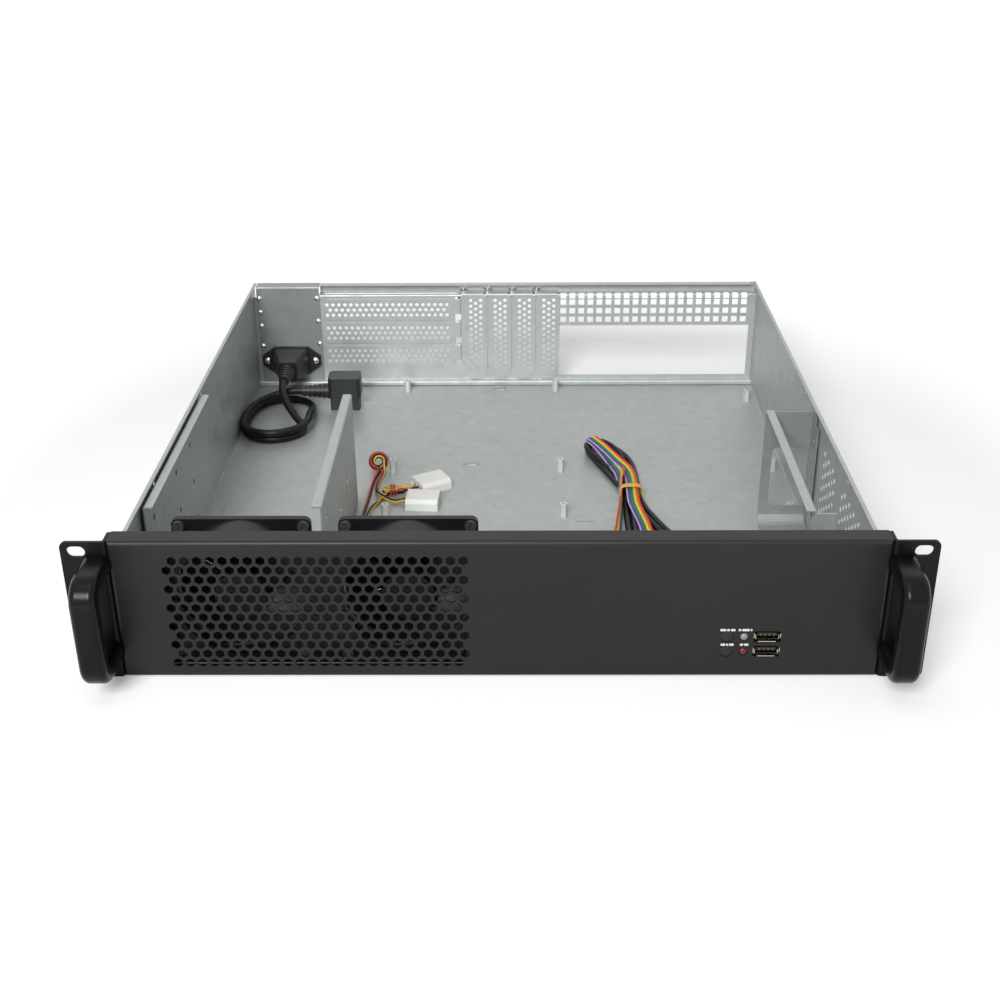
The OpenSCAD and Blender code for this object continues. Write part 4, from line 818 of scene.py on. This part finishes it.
# The board's lacquer over its copper: a green ground with a fine pattern of tracks
board_lacquer, tree, shader = new_material("board_lacquer")
tracks = add(tree, "ShaderNodeTexBrick", Scale=260.0, Color1=(0.012, 0.10, 0.045, 1),
             Color2=(0.016, 0.13, 0.055, 1), Mortar=(0.03, 0.20, 0.08, 1))
tracks.inputs["Mortar Size"].default_value = 0.05
turned = add(tree, "ShaderNodeMapping", vector_type="POINT")
turned.inputs["Rotation"].default_value = (math.pi / 2, 0, 0)
link(tree, add(tree, "ShaderNodeTexCoord").outputs["Object"], turned.inputs["Vector"])
link(tree, turned.outputs["Vector"], tracks.inputs["Vector"])
link(tree, tracks.outputs["Color"], shader.inputs["Base Color"])
textured(tree, shader, tracks.outputs["Fac"], 0.15, 0.0001)
shader.inputs["Roughness"].default_value = 0.3
finish_in(board_lacquer, "green_board", "control_board")


def box_faces(first):
    """Faces of a block whose eight corners start at a number."""
    return [tuple(first + i for i in f) for f in
            ((0, 2, 3, 1), (4, 5, 7, 6), (0, 1, 5, 4), (2, 6, 7, 3), (0, 4, 6, 2), (1, 3, 7, 5))]


def box_points(x, y, z):
    """Corners of a block between two limits each way."""
    return [at(a, b, c) for a in x for b in y for c in z]


# Contact springs: four sprung strips of each socket, with their ends bent over the tongue's edge
points, faces = [], []
for z in socket_heights.values():
    for x in contact_places:
        left, right = socket_x + x - contact_half, socket_x + x + contact_half
        for y, up in (((1.2, 9.5), (0.02, 0.2)), ((1.25, 1.42), (0.02, 1.5))):
            faces += box_faces(len(points))
            points += box_points((left, right), y, (z + up[0], z + up[1]))
contact_gold = plated("contact_gold", (0.20, 0.13, 0.07), 0.35)
piece("socket_contacts", points, faces, contact_gold, smooth=False)


def bent_plate(near, far, thick):
    """A thin plate from one edge to another: two edges of two points each, and its thickness as a step."""
    first = len(points)
    edges = [at(*p) for p in (*near, *far)]
    points.extend([*edges, *(p + Vector(thick) / 1000 for p in edges)])
    faces.extend(tuple(first + i for i in f) for f in
                 ((0, 1, 3, 2), (4, 6, 7, 5), (0, 4, 5, 1), (2, 3, 7, 6), (0, 2, 6, 4), (1, 5, 7, 3)))


# Each socket's shell sits back behind the panel, with three lips bent outwards at its mouth, to guide a plug
for name, z in socket_heights.items():
    points, faces = [], []
    left, right = socket_x - socket_half, socket_x + socket_half
    for a, b, thick in (
        ((left, -1), (right, -1), (0, 0, -sheet_metal)), ((left, 1), (right, 1), (0, 0, sheet_metal)),
        ((left, -1), (left, 1), (-sheet_metal, 0, 0)), ((right, -1), (right, 1), (sheet_metal, 0, 0)),
    ):
        ends = [(x, z + k * (socket_high - sheet_metal)) for x, k in (a, b)]
        bent_plate([(x, shell_front, h) for x, h in ends], [(x, shell_back, h) for x, h in ends], thick)
    floor, left, right = z - socket_high + sheet_metal, socket_x - lip_half, socket_x + lip_half
    bent_plate([(left, 2.5, floor), (right, 2.5, floor)],
               [(left + 0.3, 0.25, floor - 0.35), (right - 0.3, 0.25, floor - 0.35)], (0, 0, -sheet_metal))
    for turn in (-1, 1):
        edge = socket_x + turn * (socket_half - 0.2)
        bent_plate([(edge, 2.5, z - 0.9), (edge, 2.5, z + 2.3)],
                   [(edge + turn * 0.75, 0.3, z - 0.7), (edge + turn * 0.75, 0.3, z + 2.1)],
                   (turn * sheet_metal, 0, 0))
    shell_piece = piece("data_socket_" + name, points, faces, socket_shell, smooth=False)
    tidy_normals(shell_piece)
    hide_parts("data_port_" + name)

# Sprung tabs of each socket's shell, lanced from its two sides and bent inwards: how deep each fold lies
# behind the mouth, and how far from the socket's middle
tab_profile = [(0.3, 6.6), (3.5, 6.25), (6.5, 5.75), (8.0, 6.1)]
tab_thickness, tab_half = 0.25, 1.3
points, faces = [], []
for z in socket_heights.values():
    for side in (-1, 1):
        first = len(points)
        for y, x in tab_profile:
            for dx in (0, tab_thickness):
                for dz in (-tab_half, tab_half):
                    points.append(at(socket_x + side * (x - dx), 0.4 + y, z - 0.3 + dz))
        for i in range(len(tab_profile) - 1):
            a, b = first + 4 * i, first + 4 * i + 4
            faces += [(a, a + 1, b + 1, b), (a + 2, b + 2, b + 3, a + 3),
                      (a, b, b + 2, a + 2), (a + 1, a + 3, b + 3, b + 1)]
        faces += [(first, first + 2, first + 3, first + 1), (b, b + 1, b + 3, b + 2)]
piece("socket_springs", points, faces, socket_shell, smooth=False)


# ---- Inlet, plugs and sockets ----
# The mains inlet and the angled socket are black moulded nylon with a grooved sleeve over the flex. The
# fans' plugs are natural nylon, which light passes into a little, and the small plugs are black.

moulded_black = moulded("moulded_black", (0.013, 0.013, 0.014), roughness=0.42, grain=0.0005, depth=0.2)
finish_in(moulded_black, "black_plastic", "mains_inlet", "mains_socket", "data_plug", "ribbon_plug")
natural_nylon = moulded("natural_nylon", (0.80, 0.80, 0.76), roughness=0.4, grain=0.0008, depth=0.1,
                        mottle=0.05)
shader = natural_nylon.node_tree.nodes["Principled BSDF"]
shader.inputs["Subsurface Weight"].default_value = 0.35
shader.inputs["Subsurface Scale"].default_value = 0.004
finish_in(natural_nylon, "white_nylon", "power_plug_upper", "power_plug_lower")
